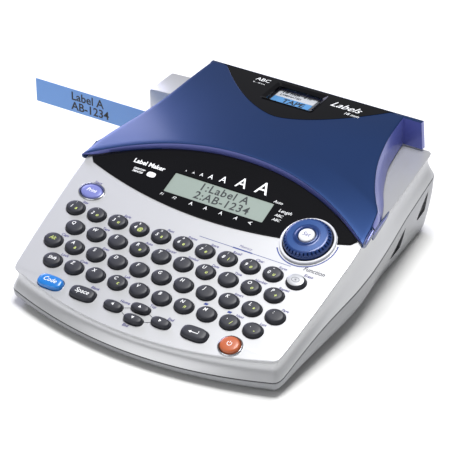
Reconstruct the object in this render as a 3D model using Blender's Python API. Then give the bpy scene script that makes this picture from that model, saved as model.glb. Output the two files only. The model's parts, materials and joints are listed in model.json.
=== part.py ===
"""Desktop label maker with a lifting cassette lid, a keyboard and a printed tape coming out on the left.

X runs along the key rows to the right, Y to the back and Z up. The origin is on the table, under the middle
of the body. Sizes below are in millimetres and become metres where a mesh is made.
"""
import math

import bmesh
import bpy
from mathutils import Matrix, Vector

MM = 0.001
GAP = 0.3                    # clearance between pieces that touch

# Body
BODY_FRONT = -118.0          # front of the keyboard plate at the middle
CORNER_Y = -102.0            # front corners of the keyboard plate
CORNER_X = 98.0
BODY_REAR = 115.0
PLATE_CORNER_Z = 26.7        # height of the plate at its front corners
PLATE_TILT = math.radians(20.0)
DECK_Z = 61.5                # flat deck behind the keyboard
WALL = 2.2
BOTTOM_Z = 1.2               # underside of the case, on its feet
FOOT_RADIUS = 7.0

# Keys on the plate: x, and s up the slope from the front corners
KEY_PITCH = 16.58
ROW_PITCH = 14.35
ROW_STAGGER = 8.8
FIRST_KEY_X = -86.3
NUMBER_ROW_S = 57.1
ROW_KEYS = (10, 10, 10, 9)
KEY_SIZE = (6.5, 5.2)        # half axes of a letter key
KEY_RISE = 3.0
KEY_HOLE_GAP = 0.45

# Display panel, dial and lid
LENS_HALF = 100.0
LENS_TIP_Y = -11.0
LENS_FRONT_Y = -27.0
LID_FRONT_MID_Y = 23.0
LID_TIP_Y = -12.0
LID_TIP_X = 106.0
LID_REAR_Z = 83.0
LID_WALL = 2.2
LCD_BOX = (-39.5, 36.0, 91.0, 108.5)
DIAL = (71.0, 88.6)
DIAL_RING_R = 18.3
DIAL_RING_BORE = 16.5
DIAL_R = 15.7
SET_BUTTON_R = 5.3
HINGE_Y = 113.4
HINGE_Z = 65.4
HINGE_PIN_R = 1.2
HINGE_BOSS_R = 2.15
HINGE_X = (55.0, 58.5, 59.0, 69.0)   # case post, then lid boss

# Tape and print unit
TAPE_Y = 48.0
TAPE_Z = (52.2, 70.2)
TAPE_END_X = -187.0
BAY = (-89.5, 38.5, 12.0, 110.0)
BAY_STEP = (-54.5, 71.0)     # behind the cutter the bay is only as wide as the cassette
BAY_TOP = 58.6
BAY_FLOOR = (44.5, 46.5)
CASSETTE = (-50.0, 34.0, 45.0, 106.2, 47.0, 75.4)
GEAR_MODULE = 1.0
PLATEN = (-60.5, 43.4)
FEED = (-75.0, 44.4)
TAKE_UP = (-36.0, 60.0)
HOLDER_PIVOT = (-53.0, 38.0)
TEETH = {"pinion": 9, "reduction": 20, "roller": 10, "idler": 26, "spindle": 12}

# Cutter
CUT_X = -84.0
CUT_PIVOT = (44.6, 49.0)
CUT_ANGLE = math.radians(22.0)   # the open blade leans this far from the tape

# Looks: colour, roughness, metallic
SILVER = ((0.78, 0.79, 0.80), 0.35, 0.3)
DARK_SILVER = ((0.60, 0.61, 0.63), 0.4, 0.3)
BLUE = ((0.03, 0.06, 0.30), 0.2, 0.3)
BLACK = ((0.02, 0.02, 0.025), 0.15, 0.0)
KEY_BLACK = ((0.04, 0.04, 0.05), 0.5, 0.0)
STEEL = ((0.62, 0.62, 0.64), 0.3, 1.0)
BRASS = ((0.75, 0.6, 0.3), 0.3, 1.0)
RUBBER = ((0.05, 0.05, 0.05), 0.8, 0.0)
GREEN = ((0.05, 0.25, 0.12), 0.5, 0.0)
CREAM = ((0.75, 0.73, 0.68), 0.5, 0.0)
GREY = ((0.30, 0.31, 0.33), 0.5, 0.0)

# Case: outline and flank tables of (y, value)
EDGE_X = [(CORNER_Y, CORNER_X), (-80, 100.2), (-50, 102.4), (-10, 104.0), (33, 100.5), (BODY_REAR, 90.0)]
SEAM_OUT = [(BODY_FRONT, 3.0), (CORNER_Y, 2.0), (0, 1.8), (55, 2.6), (BODY_REAR, 3.2)]
SEAM_Z = [(BODY_FRONT, 8.8), (CORNER_Y, 11.5), (-80, 19.0), (-55, 25.5), (-14, 30.5), (8, 32.5),
          (28, 35.5), (58, 41.0), (85, 43.0), (BODY_REAR, 45.0)]
BELLY_Z = [(BODY_FRONT, 4.0), (CORNER_Y, 6.5), (-75, 11.0), (-38, 14.5), (1, 16.5), (22, 14.5), (43, 8.0),
           (60, 4.5), (BODY_REAR, 4.5)]
BELLY_OUT = [(BODY_FRONT, 1.5), (-75, 1.0), (1, 0.0), (22, -2.5), (43, -5.5), (60, -5.5), (85, -4.0),
             (BODY_REAR, -2.0)]
SOLE_OUT = [(BODY_FRONT, -7.0), (-75, -12.0), (1, -16.0), (22, -14.0), (43, -10.0), (60, -9.0),
            (BODY_REAR, -6.0)]
FRONT_STEPS = 8
SIDE_STEPS = 16
REAR_STEPS = 4
REAR_BOW = 0.8               # the back bulges a little

# Battery cover under the rear half: (x0, x1, y0, y1)
BATTERY_COVER = (-56.0, 56.0, 8.0, 74.0)
BATTERY_TRAVEL = 10.0
BATTERY_OPENING = (-52.0, 52.0, 12.0, 70.0)
BATTERY_RECESS = (-56.4, 56.4, 7.6, 74.4 + BATTERY_TRAVEL)

# Sockets in the right side of the lower case: y, z, width, height
PORTS = {"dc_inlet": (52.0, 26.0, 10.0, 10.0), "usb_port": (95.0, 31.0, 12.5, 11.0)}

# Lid: side edges as (y, x) at the top and at the deck, right and left
LID_RIGHT_TOP = [(LID_TIP_Y, 106.0), (16, 101.0), (24, 95.5), (36, 88.0), (55, 79.5), (72, 74.5), (90, 71.0),
                 (BODY_REAR, 68.0)]
LID_RIGHT_FOOT = [(LID_TIP_Y, 106.0), (16, 103.0), (34, 96.0), (51, 87.0), (66, 80.5), (80, 75.5),
                  (104, 70.5), (BODY_REAR, 69.0)]
LID_LEFT_TOP = [(LID_TIP_Y, -106.0), (10, -100.5), (33, -92.5), (50, -88.0), (65, -85.5), (90, -83.5),
                (BODY_REAR, -82.0)]
LID_LEFT_FOOT = [(LID_TIP_Y, -106.0), (10, -102.5), (33, -95.0), (50, -90.0), (65, -87.5), (90, -85.5),
                 (BODY_REAR, -84.0)]
LID_EDGE_H = 5.6             # height of the lid above the plate at its front edge
LID_BULGE = 16.0

# name: (x, s, half width, half depth, outline power, colour look)
FUNCTION_KEYS = {
    "shift_key": (-76.5, 14.05, 6.5, 5.2, 2.0, KEY_BLACK),
    "alt_key": (-85.3, 28.4, 6.5, 5.2, 2.0, KEY_BLACK),
    "clear_key": (FIRST_KEY_X + 10 * KEY_PITCH, 57.1, 6.5, 5.2, 2.0, SILVER),
    "print_key": (-84.0, 73.4, 8.0, 5.6, 2.0, ((0.35, 0.38, 0.62), 0.35, 0.0)),
    "code_key": (-67.8, -1.9, 9.0, 4.7, 3.0, ((0.02, 0.25, 0.62), 0.3, 0.0)),
    "space_key": (-43.0, -1.9, 9.0, 4.7, 3.0, KEY_BLACK),
    "left_key": (-19.3, -2.8, 6.6, 3.4, 2.6, KEY_BLACK),
    "up_key": (-1.6, 1.9, 6.6, 3.2, 2.6, KEY_BLACK),
    "down_key": (-1.6, -7.2, 6.6, 3.2, 2.6, KEY_BLACK),
    "right_key": (16.1, -2.8, 6.6, 3.4, 2.6, KEY_BLACK),
    "enter_key": (40.2, -1.9, 9.0, 4.7, 3.0, KEY_BLACK),
    "power_key": (65.4, -1.2, 6.6, 6.0, 2.0, ((0.75, 0.22, 0.05), 0.35, 0.0)),
}
RIM_WIDTH = {"print_key": 1.8, "power_key": 1.6}

# Gears and motor
UPPER_GEARS = (47.2, 50.2)
LOWER_GEARS = (39.6, 42.6)
SHAFT_R = 1.5
PINION_ANGLE = math.radians(90.0)   # where the motor sits round the reduction gear
MOTOR_R = 9.0
MOTOR_Z = (18.0, 35.2)
CUTTER_GEAR = (31.0, 53.0, 5.0)     # y, z, radius
SPOOLS = {"tape_spool": ((8.0, 80.0), 21.0, 6.0), "ribbon_supply_spool": ((-33.0, 92.0), 10.5, 3.0),
          "ribbon_take_up_spool": (TAKE_UP, 7.5, 2.7)}


def lerp(a, b, t):
    return a + (b - a) * t


def curve_at(points, t):
    """Smooth value at t of a curve through a few (t, value) design points."""
    if t <= points[0][0]:
        return points[0][1]
    for i in range(len(points) - 1):
        (t0, v0), (t1, v1) = points[i], points[i + 1]
        if t <= t1:
            before = points[max(i - 1, 0)]
            after = points[min(i + 2, len(points) - 1)]
            m0 = (v1 - before[1]) / (t1 - before[0])
            m1 = (after[1] - v0) / (after[0] - t0)
            u = (t - t0) / (t1 - t0)
            h = t1 - t0
            return ((2 * u**3 - 3 * u**2 + 1) * v0 + (u**3 - 2 * u**2 + u) * h * m0
                    + (3 * u**2 - 2 * u**3) * v1 + (u**3 - u**2) * h * m1)
    return points[-1][1]


def plate_z(y):
    return PLATE_CORNER_Z + (y - CORNER_Y) * math.tan(PLATE_TILT)


def plate_point(x, s, h=0.0):
    """Point on the keyboard plate: s up the slope, h along the plate's normal."""
    return Vector((x,
                   CORNER_Y + s * math.cos(PLATE_TILT) - h * math.sin(PLATE_TILT),
                   PLATE_CORNER_Z + s * math.sin(PLATE_TILT) + h * math.cos(PLATE_TILT)))


def material(name, colour, roughness, metallic=0.0):
    mat = bpy.data.materials.new(name)
    mat.use_nodes = True
    shader = mat.node_tree.nodes["Principled BSDF"]
    shader.inputs["Base Color"].default_value = (*colour, 1.0)
    shader.inputs["Roughness"].default_value = roughness
    shader.inputs["Metallic"].default_value = metallic
    return mat


def new_object(name, bm, look, location=(0, 0, 0), smooth_angle=None):
    """Turn a bmesh in millimetres into a named object in metres, faces out."""
    bmesh.ops.recalc_face_normals(bm, faces=bm.faces)
    bmesh.ops.scale(bm, vec=(MM, MM, MM), verts=bm.verts)
    mesh = bpy.data.meshes.new(name)
    bm.to_mesh(mesh)
    bm.free()
    if smooth_angle is not None:
        mesh.shade_smooth()
        mesh.set_sharp_from_angle(angle=math.radians(smooth_angle))
    obj = bpy.data.objects.new(name, mesh)
    obj.location = Vector(location) * MM
    bpy.context.scene.collection.objects.link(obj)
    if look is not None:
        obj.data.materials.append(material(name, *look))
    return obj


def loft(rings, bm=None):
    """Closed body through rings of equal point counts, with a flat cap at each end."""
    bm = bm or bmesh.new()
    loops = [[bm.verts.new(p) for p in ring] for ring in rings]
    count = len(loops[0])
    for low, high in zip(loops, loops[1:]):
        for i in range(count):
            j = (i + 1) % count
            bm.faces.new((low[i], low[j], high[j], high[i]))
    bm.faces.new(list(reversed(loops[0])))
    bm.faces.new(loops[-1])
    return bm


def box(x0, x1, y0, y1, z0, z1, bm=None):
    ring = ((x0, y0), (x1, y0), (x1, y1), (x0, y1))
    return loft([[(x, y, z) for x, y in ring] for z in (z0, z1)], bm)


def ellipse(rx, ry, count, power=2.0):
    points = []
    for i in range(count):
        a = 2 * math.pi * i / count
        c, s = math.cos(a), math.sin(a)
        points.append((rx * math.copysign(abs(c) ** (2 / power), c),
                       ry * math.copysign(abs(s) ** (2 / power), s)))
    return points


def disc_stack(levels, count=20, bm=None, centre=(0, 0)):
    """Round body from (radius, z) levels."""
    rings = [[(centre[0] + x, centre[1] + y, z) for x, y in ellipse(r, r, count)] for r, z in levels]
    return loft(rings, bm)


def rounded_rect(x0, x1, y0, y1, radius, steps=3):
    points = []
    for cx, cy, start in ((x1 - radius, y0 + radius, -90), (x1 - radius, y1 - radius, 0),
                          (x0 + radius, y1 - radius, 90), (x0 + radius, y0 + radius, 180)):
        for i in range(steps + 1):
            a = math.radians(start + 90 * i / steps)
            points.append((cx + radius * math.cos(a), cy + radius * math.sin(a)))
    return points


def prism(outline, z0, z1, bm=None):
    return loft([[(x, y, z) for x, y in outline] for z in (z0, z1)], bm)


def cut(obj, bm, name, operation="DIFFERENCE", matrix=None):
    """Boolean with a hidden helper made from bm, in world millimetres unless a matrix places it."""
    helper = new_object(name, bm, None)
    if matrix is not None:
        helper.matrix_world = matrix
    helper.hide_render = True
    helper.display_type = "WIRE"
    helper.hide_set(True)
    mod = obj.modifiers.new(name, "BOOLEAN")
    mod.operation = operation
    mod.solver = "EXACT"
    mod.object = helper
    return helper


def on_plate(x, s, h=0.0):
    """Matrix whose local Z is the plate's normal at (x, s), in metres."""
    return Matrix.Translation(plate_point(x, s, h) * MM) @ Matrix.Rotation(PLATE_TILT, 4, "X")


def half_outline():
    """Right half of the plan outline, from the front middle to the rear middle."""
    points = []
    for i in range(FRONT_STEPS):
        x = CORNER_X * (i / FRONT_STEPS)
        points.append((x, BODY_FRONT + (CORNER_Y - BODY_FRONT) * (x / CORNER_X) ** 2))
    points.append((CORNER_X - 3.2, BODY_FRONT + (CORNER_Y - BODY_FRONT) * 0.95))
    for i in range(SIDE_STEPS + 1):
        y = lerp(CORNER_Y + 2.5, BODY_REAR - 5.0, i / SIDE_STEPS)
        points.append((curve_at(EDGE_X, y), y))
    for i in range(REAR_STEPS):
        x = lerp(88.0, 0.0, i / (REAR_STEPS - 1))
        points.append((x, BODY_REAR + REAR_BOW * (1 - (x / 88.0) ** 2)))
    return points


def offset_point(points, i, amount):
    """Move point i of the half outline outwards along its normal."""
    x, y = points[i]
    before = points[i - 1] if i > 0 else (-points[1][0], points[1][1])
    after = points[i + 1] if i + 1 < len(points) else (-points[-2][0], points[-2][1])
    tangent = Vector((after[0] - before[0], after[1] - before[1])).normalized()
    return (x + tangent.y * amount, y - tangent.x * amount)


def case_body(levels):
    """Closed body whose side runs through levels of (outset(y), z(y)), with striped top and bottom."""
    half = half_outline()
    bm = bmesh.new()
    rings = []
    for outset, height in levels:
        right = []
        left = []
        for i, (x, y) in enumerate(half):
            px, py = offset_point(half, i, outset(y))
            if i in (0, len(half) - 1):
                px = 0.0
            right.append(bm.verts.new((px, py, height(y))))
            left.append(right[-1] if i in (0, len(half) - 1) else bm.verts.new((-px, py, height(y))))
        rings.append((right, left))
    for (r0, l0), (r1, l1) in zip(rings, rings[1:]):
        for i in range(len(half) - 1):
            bm.faces.new((r0[i], r0[i + 1], r1[i + 1], r1[i]))
            bm.faces.new((l0[i + 1], l0[i], l1[i], l1[i + 1]))
    for right, left in (rings[0], rings[-1]):
        for i in range(len(half) - 1):
            corners = [right[i], right[i + 1], left[i + 1], left[i]]
            unique = [v for k, v in enumerate(corners) if v not in corners[:k]]
            bm.faces.new(unique)
    return bm


def edge_z(y):
    return min(plate_z(y), DECK_Z)


def seam_z(y):
    return curve_at(SEAM_Z, y)


def cove(depth, rise, inset=0.0, drop=0.0):
    """Level of the concave flank: depth from the edge line, rise from seam to edge."""
    def outset(y):
        return depth - inset

    def height(y):
        return lerp(seam_z(y), edge_z(y), rise) - drop
    return outset, height


def upper_levels(inset=0.0, drop=0.0, seam_drop=0.0):
    return [
        (lambda y: curve_at(SEAM_OUT, y) - inset, lambda y: seam_z(y) - seam_drop),
        cove(0.4, 0.22, inset, drop),
        cove(-0.9, 0.55, inset, drop),
        cove(-0.9, 0.85, inset, drop),
        (lambda y: -inset, lambda y: edge_z(y) - drop),
    ]


def key_positions():
    """(row, index, x, s) of the letter and number keys."""
    for row, count in enumerate(ROW_KEYS):
        for index in range(count):
            yield (row, index, FIRST_KEY_X + row * ROW_STAGGER + index * KEY_PITCH,
                   NUMBER_ROW_S - row * ROW_PITCH)


def hole_sides(rx):
    return 12 if rx < 7 else 16


def bay_outline(inset, front=None):
    """L-shaped outline of the cassette bay in plan, moved inwards by inset."""
    x0, x1, y0, y1 = BAY
    step_x, step_y = BAY_STEP
    y0 = front if front is not None else y0 + inset
    return [(x0 + inset, y0), (x1 - inset, y0), (x1 - inset, y1 - inset), (step_x + inset, y1 - inset),
            (step_x + inset, step_y - inset), (x0 + inset, step_y - inset)]


def make_cases():
    upper = new_object("upper_case", case_body(upper_levels()), SILVER)
    cut(upper, case_body(upper_levels(WALL, WALL * 1.1, 6.0)), "upper_hollow")
    holes = bmesh.new()
    openings = [(x, s, *KEY_SIZE, 2.0) for _, _, x, s in key_positions()]
    for name, (x, s, rx, ry, power, _) in FUNCTION_KEYS.items():
        rim = RIM_WIDTH.get(name, 0.0)
        openings.append((x, s, rx + rim, ry + rim, power))
    for x, s, rx, ry, power in openings:
        outline = ellipse(rx + KEY_HOLE_GAP, ry + KEY_HOLE_GAP, hole_sides(rx), power)
        rings = []
        for h in (-6.0, 3.0):
            rings.append([plate_point(x + px, s + py, h) for px, py in outline])
        loft(rings, holes)
    outline = ellipse(11.0, 11.0, 20)
    loft([[plate_point(DIAL[0] + px, DIAL[1] + py, h) for px, py in outline] for h in (-8.0, 8.0)], holes)
    x0, x1, s0, s1 = LCD_BOX
    corners = rounded_rect(x0 - 2.5, x1 + 2.5, s0 - 2.0, s1 + 1.0, 1.0, 1)
    loft([[plate_point(px, py, h) for px, py in corners] for h in (-14.0, 6.0)], holes)
    cut(upper, holes, "plate_holes")
    cut(upper, prism(bay_outline(3.2, 28.0), 52.0, 80.0), "bay_opening")
    cut(upper, box(-120.0, BAY[0] + 8.0, TAPE_Y - 2.5, TAPE_Y + 2.5, 50.0, 80.0), "tape_slot_upper")

    levels = [
        (lambda y: curve_at(SOLE_OUT, y), lambda y: BOTTOM_Z),
        (lambda y: curve_at(BELLY_OUT, y), lambda y: curve_at(BELLY_Z, y)),
        (lambda y: curve_at(SEAM_OUT, y), lambda y: seam_z(y) - GAP),
    ]
    hollow = [
        (lambda y: curve_at(SOLE_OUT, y) - 1.5, lambda y: BOTTOM_Z + 2.0),
        (lambda y: curve_at(BELLY_OUT, y) - WALL, lambda y: curve_at(BELLY_Z, y) + 1.6),
        (lambda y: curve_at(SEAM_OUT, y) - WALL, lambda y: seam_z(y) + 6.0),
    ]
    lower = new_object("lower_case", case_body(levels), DARK_SILVER)
    cut(lower, case_body(hollow), "lower_hollow")
    openings = bmesh.new()
    rings = []
    for (x0, x1, y0, y1), z in ((BATTERY_RECESS, BOTTOM_Z - 1.0), (BATTERY_RECESS, BOTTOM_Z + 1.5),
                                (BATTERY_OPENING, BOTTOM_Z + 1.5), (BATTERY_OPENING, BOTTOM_Z + 4.0)):
        rings.append([(x0, y0, z), (x1, y0, z), (x1, y1, z), (x0, y1, z)])
    loft(rings, openings)
    for y, z, width, height in PORTS.values():
        box(84.0, 110.0, y - width / 2, y + width / 2, z - height / 2, z + height / 2, openings)
    cut(lower, openings, "lower_openings")
    return upper


def make_bottom_parts():
    x0, x1, y0, y1 = BATTERY_COVER
    z = BOTTOM_Z
    outline = rounded_rect(x0, x1, y0, y1, 2.0, 2)
    cover = new_object("battery_cover", prism(outline, z, z + 1.2), DARK_SILVER)
    grip = bmesh.new()
    for i in range(3):
        y = y1 - 14.0 + i * 4.0
        box(-12.0, 12.0, y, y + 1.6, z - 0.5, z + 0.5, grip)
    cut(cover, grip, "cover_grip")
    for name, sx, y in (("foot_front_left", -1, -88.0), ("foot_front_right", 1, -88.0),
                        ("foot_rear_left", -1, 96.0), ("foot_rear_right", 1, 96.0)):
        levels = [(FOOT_RADIUS - 0.6, 0.0), (FOOT_RADIUS, 0.4), (FOOT_RADIUS, BOTTOM_Z - 0.05)]
        new_object(name, disc_stack(levels, 20), RUBBER, (sx * 66.0, y, 0.0), 40)
    for name, x in (("battery_contact_left", -50.0), ("battery_contact_right", 49.4)):
        new_object(name, box(x, x + 0.6, 14.0, 68.0, BOTTOM_Z + 3.0, 17.0), STEEL)
    for name, (y, z, width, height) in PORTS.items():
        body = box(78.0, 90.5, y - width / 2 + 0.4, y + width / 2 - 0.4, z - height / 2 + 0.4,
                   z + height / 2 - 0.4)
        port = new_object(name, body, BLACK if name == "dc_inlet" else STEEL)
        if name == "dc_inlet":
            socket = disc_stack([(3.0, -10.0), (3.0, 4.0)], 16)
            turn = Matrix.Translation(Vector((90.0, y, z)) * MM) @ Matrix.Rotation(math.pi / 2, 4, "Y")
            cut(port, socket, "dc_socket", matrix=turn)
        else:
            cut(port, box(82.0, 92.0, y - 4.2, y + 4.2, z - 3.9, z + 3.9), "usb_socket")


def make_boards():
    ring = rounded_rect(-84.0, 84.0, -1.0, 82.0, 4.0, 2)
    new_object("main_board", loft([[plate_point(x, s, h) for x, s in ring] for h in (-9.0, -7.4)]), GREEN)
    x0, x1, s0, s1 = LCD_BOX
    lcd = rounded_rect(x0 - 1.5, x1 + 1.5, s0 - 1.0, s1 + 0.6, 0.8, 1)
    rings = [[plate_point(x, s, h) for x, s in lcd] for h in (-4.5, 0.2)]
    new_object("lcd_module", loft(rings), ((0.55, 0.6, 0.52), 0.2, 0.0))


def key_rings(x, s, rx, ry, power, count, base_h, top_h):
    """Rings of one domed key in world millimetres, from its base to its crown."""
    rings = []
    for grow, h in ((1.0, base_h), (1.0, top_h - 1.0), (0.72, top_h)):
        outline = ellipse(rx * grow, ry * grow, count, power)
        rings.append([plate_point(x + px, s + py, h) for px, py in outline])
    return rings


def make_keys():
    """The letter keys are one silicone moulding; each function key is a cap of its own."""
    pad_outline = rounded_rect(-92.0, 91.0, 6.5, 65.0, 3.0, 2)
    pad_rings = [[plate_point(x, s, h) for x, s in pad_outline] for h in (-5.2, -4.2)]
    pad = new_object("keypad", loft(pad_rings), KEY_BLACK, smooth_angle=50)
    caps = bmesh.new()
    for _, _, x, s in key_positions():
        loft(key_rings(x, s, *KEY_SIZE, 2.0, 10, -4.7, KEY_RISE), caps)
    cut(pad, caps, "letter_caps", "UNION")
    windows = bmesh.new()
    for name in ("shift_key", "alt_key", "clear_key"):
        x, s, rx, ry, power, _ = FUNCTION_KEYS[name]
        outline = ellipse(rx + 0.8, ry + 0.8, 16)
        loft([[plate_point(x + px, s + py, h) for px, py in outline] for h in (-7.0, -3.0)], windows)
    cut(pad, windows, "keypad_windows")

    for name, (x, s, rx, ry, power, look) in FUNCTION_KEYS.items():
        top = 1.2 if name == "print_key" else KEY_RISE
        base = -4.2 if name == "print_key" else -5.0
        rings = []
        for grow, h in ((1.0, base), (1.0, top - 1.1), (0.9, top - 0.35), (0.55, top)):
            outline = ellipse(rx * grow, ry * grow, hole_sides(rx), power)
            rings.append([(px, py, h) for px, py in outline])
        key = new_object(name, loft(rings), look, smooth_angle=50)
        key.matrix_world = on_plate(x, s)
        rim = RIM_WIDTH.get(name)
        if rim:
            outer = [rim + 0.05, rim + 0.05, rim - 0.7]
            heights = [-1.5, 0.2, 0.9]
            inner = 0.35
            bm = bmesh.new()
            profile = list(zip(outer, heights)) + [(inner, 0.2), (inner, -1.5)]
            loops = []
            for grow, h in profile:
                outline = ellipse(rx + grow, ry + grow, 24, power)
                loops.append([bm.verts.new((px, py, h)) for px, py in outline])
            for a, b in zip(loops, loops[1:] + loops[:1]):
                for i in range(len(a)):
                    j = (i + 1) % len(a)
                    bm.faces.new((a[i], a[j], b[j], b[i]))
            ring = new_object(name + "_rim", bm, STEEL, smooth_angle=50)
            ring.matrix_world = on_plate(x, s)


def turned_ring(profile, count):
    """Closed ring turned about Z through a closed profile of (radius, z) points."""
    bm = bmesh.new()
    loops = [[bm.verts.new((x, y, z)) for x, y in ellipse(r, r, count)] for r, z in profile]
    for a, b in zip(loops, loops[1:] + loops[:1]):
        for i in range(count):
            j = (i + 1) % count
            bm.faces.new((a[i], a[j], b[j], b[i]))
    return bm


def make_dial():
    """White ring round the dial, with a push button in the dial's middle."""
    place = on_plate(*DIAL)
    profile = [(DIAL_RING_R, 0.3), (DIAL_RING_R, 1.4), (DIAL_RING_R - 0.6, 2.0), (DIAL_RING_BORE + 0.4, 2.0),
               (DIAL_RING_BORE, 1.6), (DIAL_RING_BORE, 0.3)]
    ring = new_object("dial_ring", turned_ring(profile, 28), ((0.85, 0.86, 0.88), 0.3, 0.0), smooth_angle=40)
    ring.matrix_world = place
    bore = SET_BUTTON_R + 0.4
    profile = [(DIAL_R, 1.2), (DIAL_R, 4.6), (DIAL_R - 1.3, 6.3), (bore + 1.3, 6.6), (bore, 5.6),
               (bore, -4.0), (9.6, -4.0), (9.6, 1.2)]
    dial = new_object("dial", turned_ring(profile, 28), ((0.05, 0.15, 0.5), 0.25, 0.0), smooth_angle=40)
    dial.matrix_world = place
    button = disc_stack([(SET_BUTTON_R, -1.0), (SET_BUTTON_R, 6.2), (4.8, 7.3), (3.0, 7.8)], 24)
    button = new_object("set_button", button, ((0.85, 0.86, 0.9), 0.3, 0.0), smooth_angle=40)
    button.matrix_world = place
    encoder = disc_stack([(SET_BUTTON_R, -7.2), (SET_BUTTON_R, -2.6)], 20)
    encoder = new_object("dial_encoder", encoder, GREY, smooth_angle=40)
    encoder.matrix_world = place


def lid_front_y(x):
    t = min(abs(x) / LID_TIP_X, 1.0)
    return LID_FRONT_MID_Y + (LID_TIP_Y - LID_FRONT_MID_Y) * t ** 2.1


def panel_front_y(x):
    t = min(abs(x) / LENS_HALF, 1.0)
    return LENS_FRONT_Y + (LENS_TIP_Y - LENS_FRONT_Y) * t ** 2


def make_display_panel():
    """Black lens between the keyboard and the lid, on the plate's plane, wedge-shaped behind the plate."""
    count = 20
    xs = [lerp(-LENS_HALF, LENS_HALF, i / count) for i in range(count + 1)]
    front = [(x, panel_front_y(x)) for x in xs[1:-1]]
    back = [(x, lid_front_y(x) - 0.4) for x in reversed(xs)]
    outline = front + back
    rings = []
    rings.append([(x, y, edge_z(y) + GAP) for x, y in outline])
    rings.append([(x, y, plate_z(y) + 1.0) for x, y in outline])
    bm = bmesh.new()
    loops = [[bm.verts.new(p) for p in ring] for ring in rings]
    total = len(outline)
    for i in range(total):
        j = (i + 1) % total
        bm.faces.new((loops[0][i], loops[0][j], loops[1][j], loops[1][i]))
    bm.faces.new(loops[1])
    panel_bottom(bm, loops[0], len(front))
    panel = new_object("display_panel", bm, BLACK)
    x0, x1, s0, s1 = LCD_BOX
    window = bmesh.new()
    corners = rounded_rect(x0, x1, s0, s1, 0.8, 1)
    loft([[plate_point(x, s, h) for x, s in corners] for h in (0.8, 6.0)], window)
    cut(panel, window, "lcd_window")
    pocket = bmesh.new()
    corners = rounded_rect(x0 - 2.2, x1 + 2.2, s0 - 1.6, s1 + 1.2, 0.8, 1)
    loft([[plate_point(x, s, h) for x, s in corners] for h in (-12.0, 0.6)], pocket)
    cut(panel, pocket, "lcd_pocket")
    through = bmesh.new()
    inner = rounded_rect(x0 + 0.6, x1 - 0.6, s0 + 0.6, s1 - 0.6, 0.8, 1)
    loft([[plate_point(x, s, h) for x, s in inner] for h in (-3.0, 4.0)], through)
    cut(panel, through, "lcd_through")
    seat = disc_stack([(DIAL_RING_R + 0.4, -12.0), (DIAL_RING_R + 0.4, 8.0)], 36)
    cut(panel, seat, "dial_seat", matrix=on_plate(*DIAL))
    return panel


def panel_bottom(bm, loop, front_count):
    """Underside of the panel: strips from its front row to the deck's front edge, then to its back row."""
    front = loop[:front_count]
    back = list(reversed(loop[front_count:]))
    fold_y = CORNER_Y + (DECK_Z - PLATE_CORNER_Z) / math.tan(PLATE_TILT)
    fold = []
    for a, b in zip(front, back[1:-1]):
        y = min(fold_y, lerp(a.co.y, b.co.y, 0.9))
        fold.append(bm.verts.new((a.co.x, y, edge_z(y) + GAP)))
    bm.faces.new((back[0], front[0], fold[0]))
    bm.faces.new((back[0], fold[0], back[1]))
    for i in range(front_count - 1):
        bm.faces.new((front[i], front[i + 1], fold[i + 1], fold[i]))
        bm.faces.new((fold[i], fold[i + 1], back[i + 2], back[i + 1]))
    bm.faces.new((fold[-1], front[-1], back[-1]))
    bm.faces.new((back[-2], fold[-1], back[-1]))


def lid_surface(u, v, inset=0.0):
    """Point of the lid's top: u from -1 left to 1 right, v from 0 at the front to 1 at the rear."""
    rear = BODY_REAR - inset
    side_y = lerp(LID_TIP_Y + 1.5 * inset, rear, v)
    right = curve_at(LID_RIGHT_TOP, side_y) - inset
    left = curve_at(LID_LEFT_TOP, side_y) + inset
    x = lerp(left, right, (u + 1) / 2)
    front_x = LID_TIP_X * u
    front = lid_front_y(front_x) + inset
    y = lerp(front, rear, v)
    front_z = plate_z(lid_front_y(front_x)) + LID_EDGE_H - 1.5 * abs(u) ** 3
    z = lerp(front_z, LID_REAR_Z, v) + LID_BULGE * v * (1 - v) * (0.4 + 0.6 * u * u)
    return x, y, z - inset


def lid_foot(x, y, side, v, inset, floor_drop):
    """Point of the lid's lower rim under a top rim point."""
    z = max(plate_z(y) + 1.4, DECK_Z + 1.3) if y < LID_FRONT_MID_Y + 5 else DECK_Z + 1.3
    if side:
        side_y = lerp(LID_TIP_Y + 1.5 * inset, BODY_REAR - inset, v)
        table = LID_RIGHT_FOOT if side > 0 else LID_LEFT_FOOT
        x = curve_at(table, side_y) - side * inset
        z = DECK_Z + 1.3 if side_y > 4 else max(plate_z(side_y) + 1.4, DECK_Z + 1.3)
    return x, y, z - floor_drop


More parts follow.
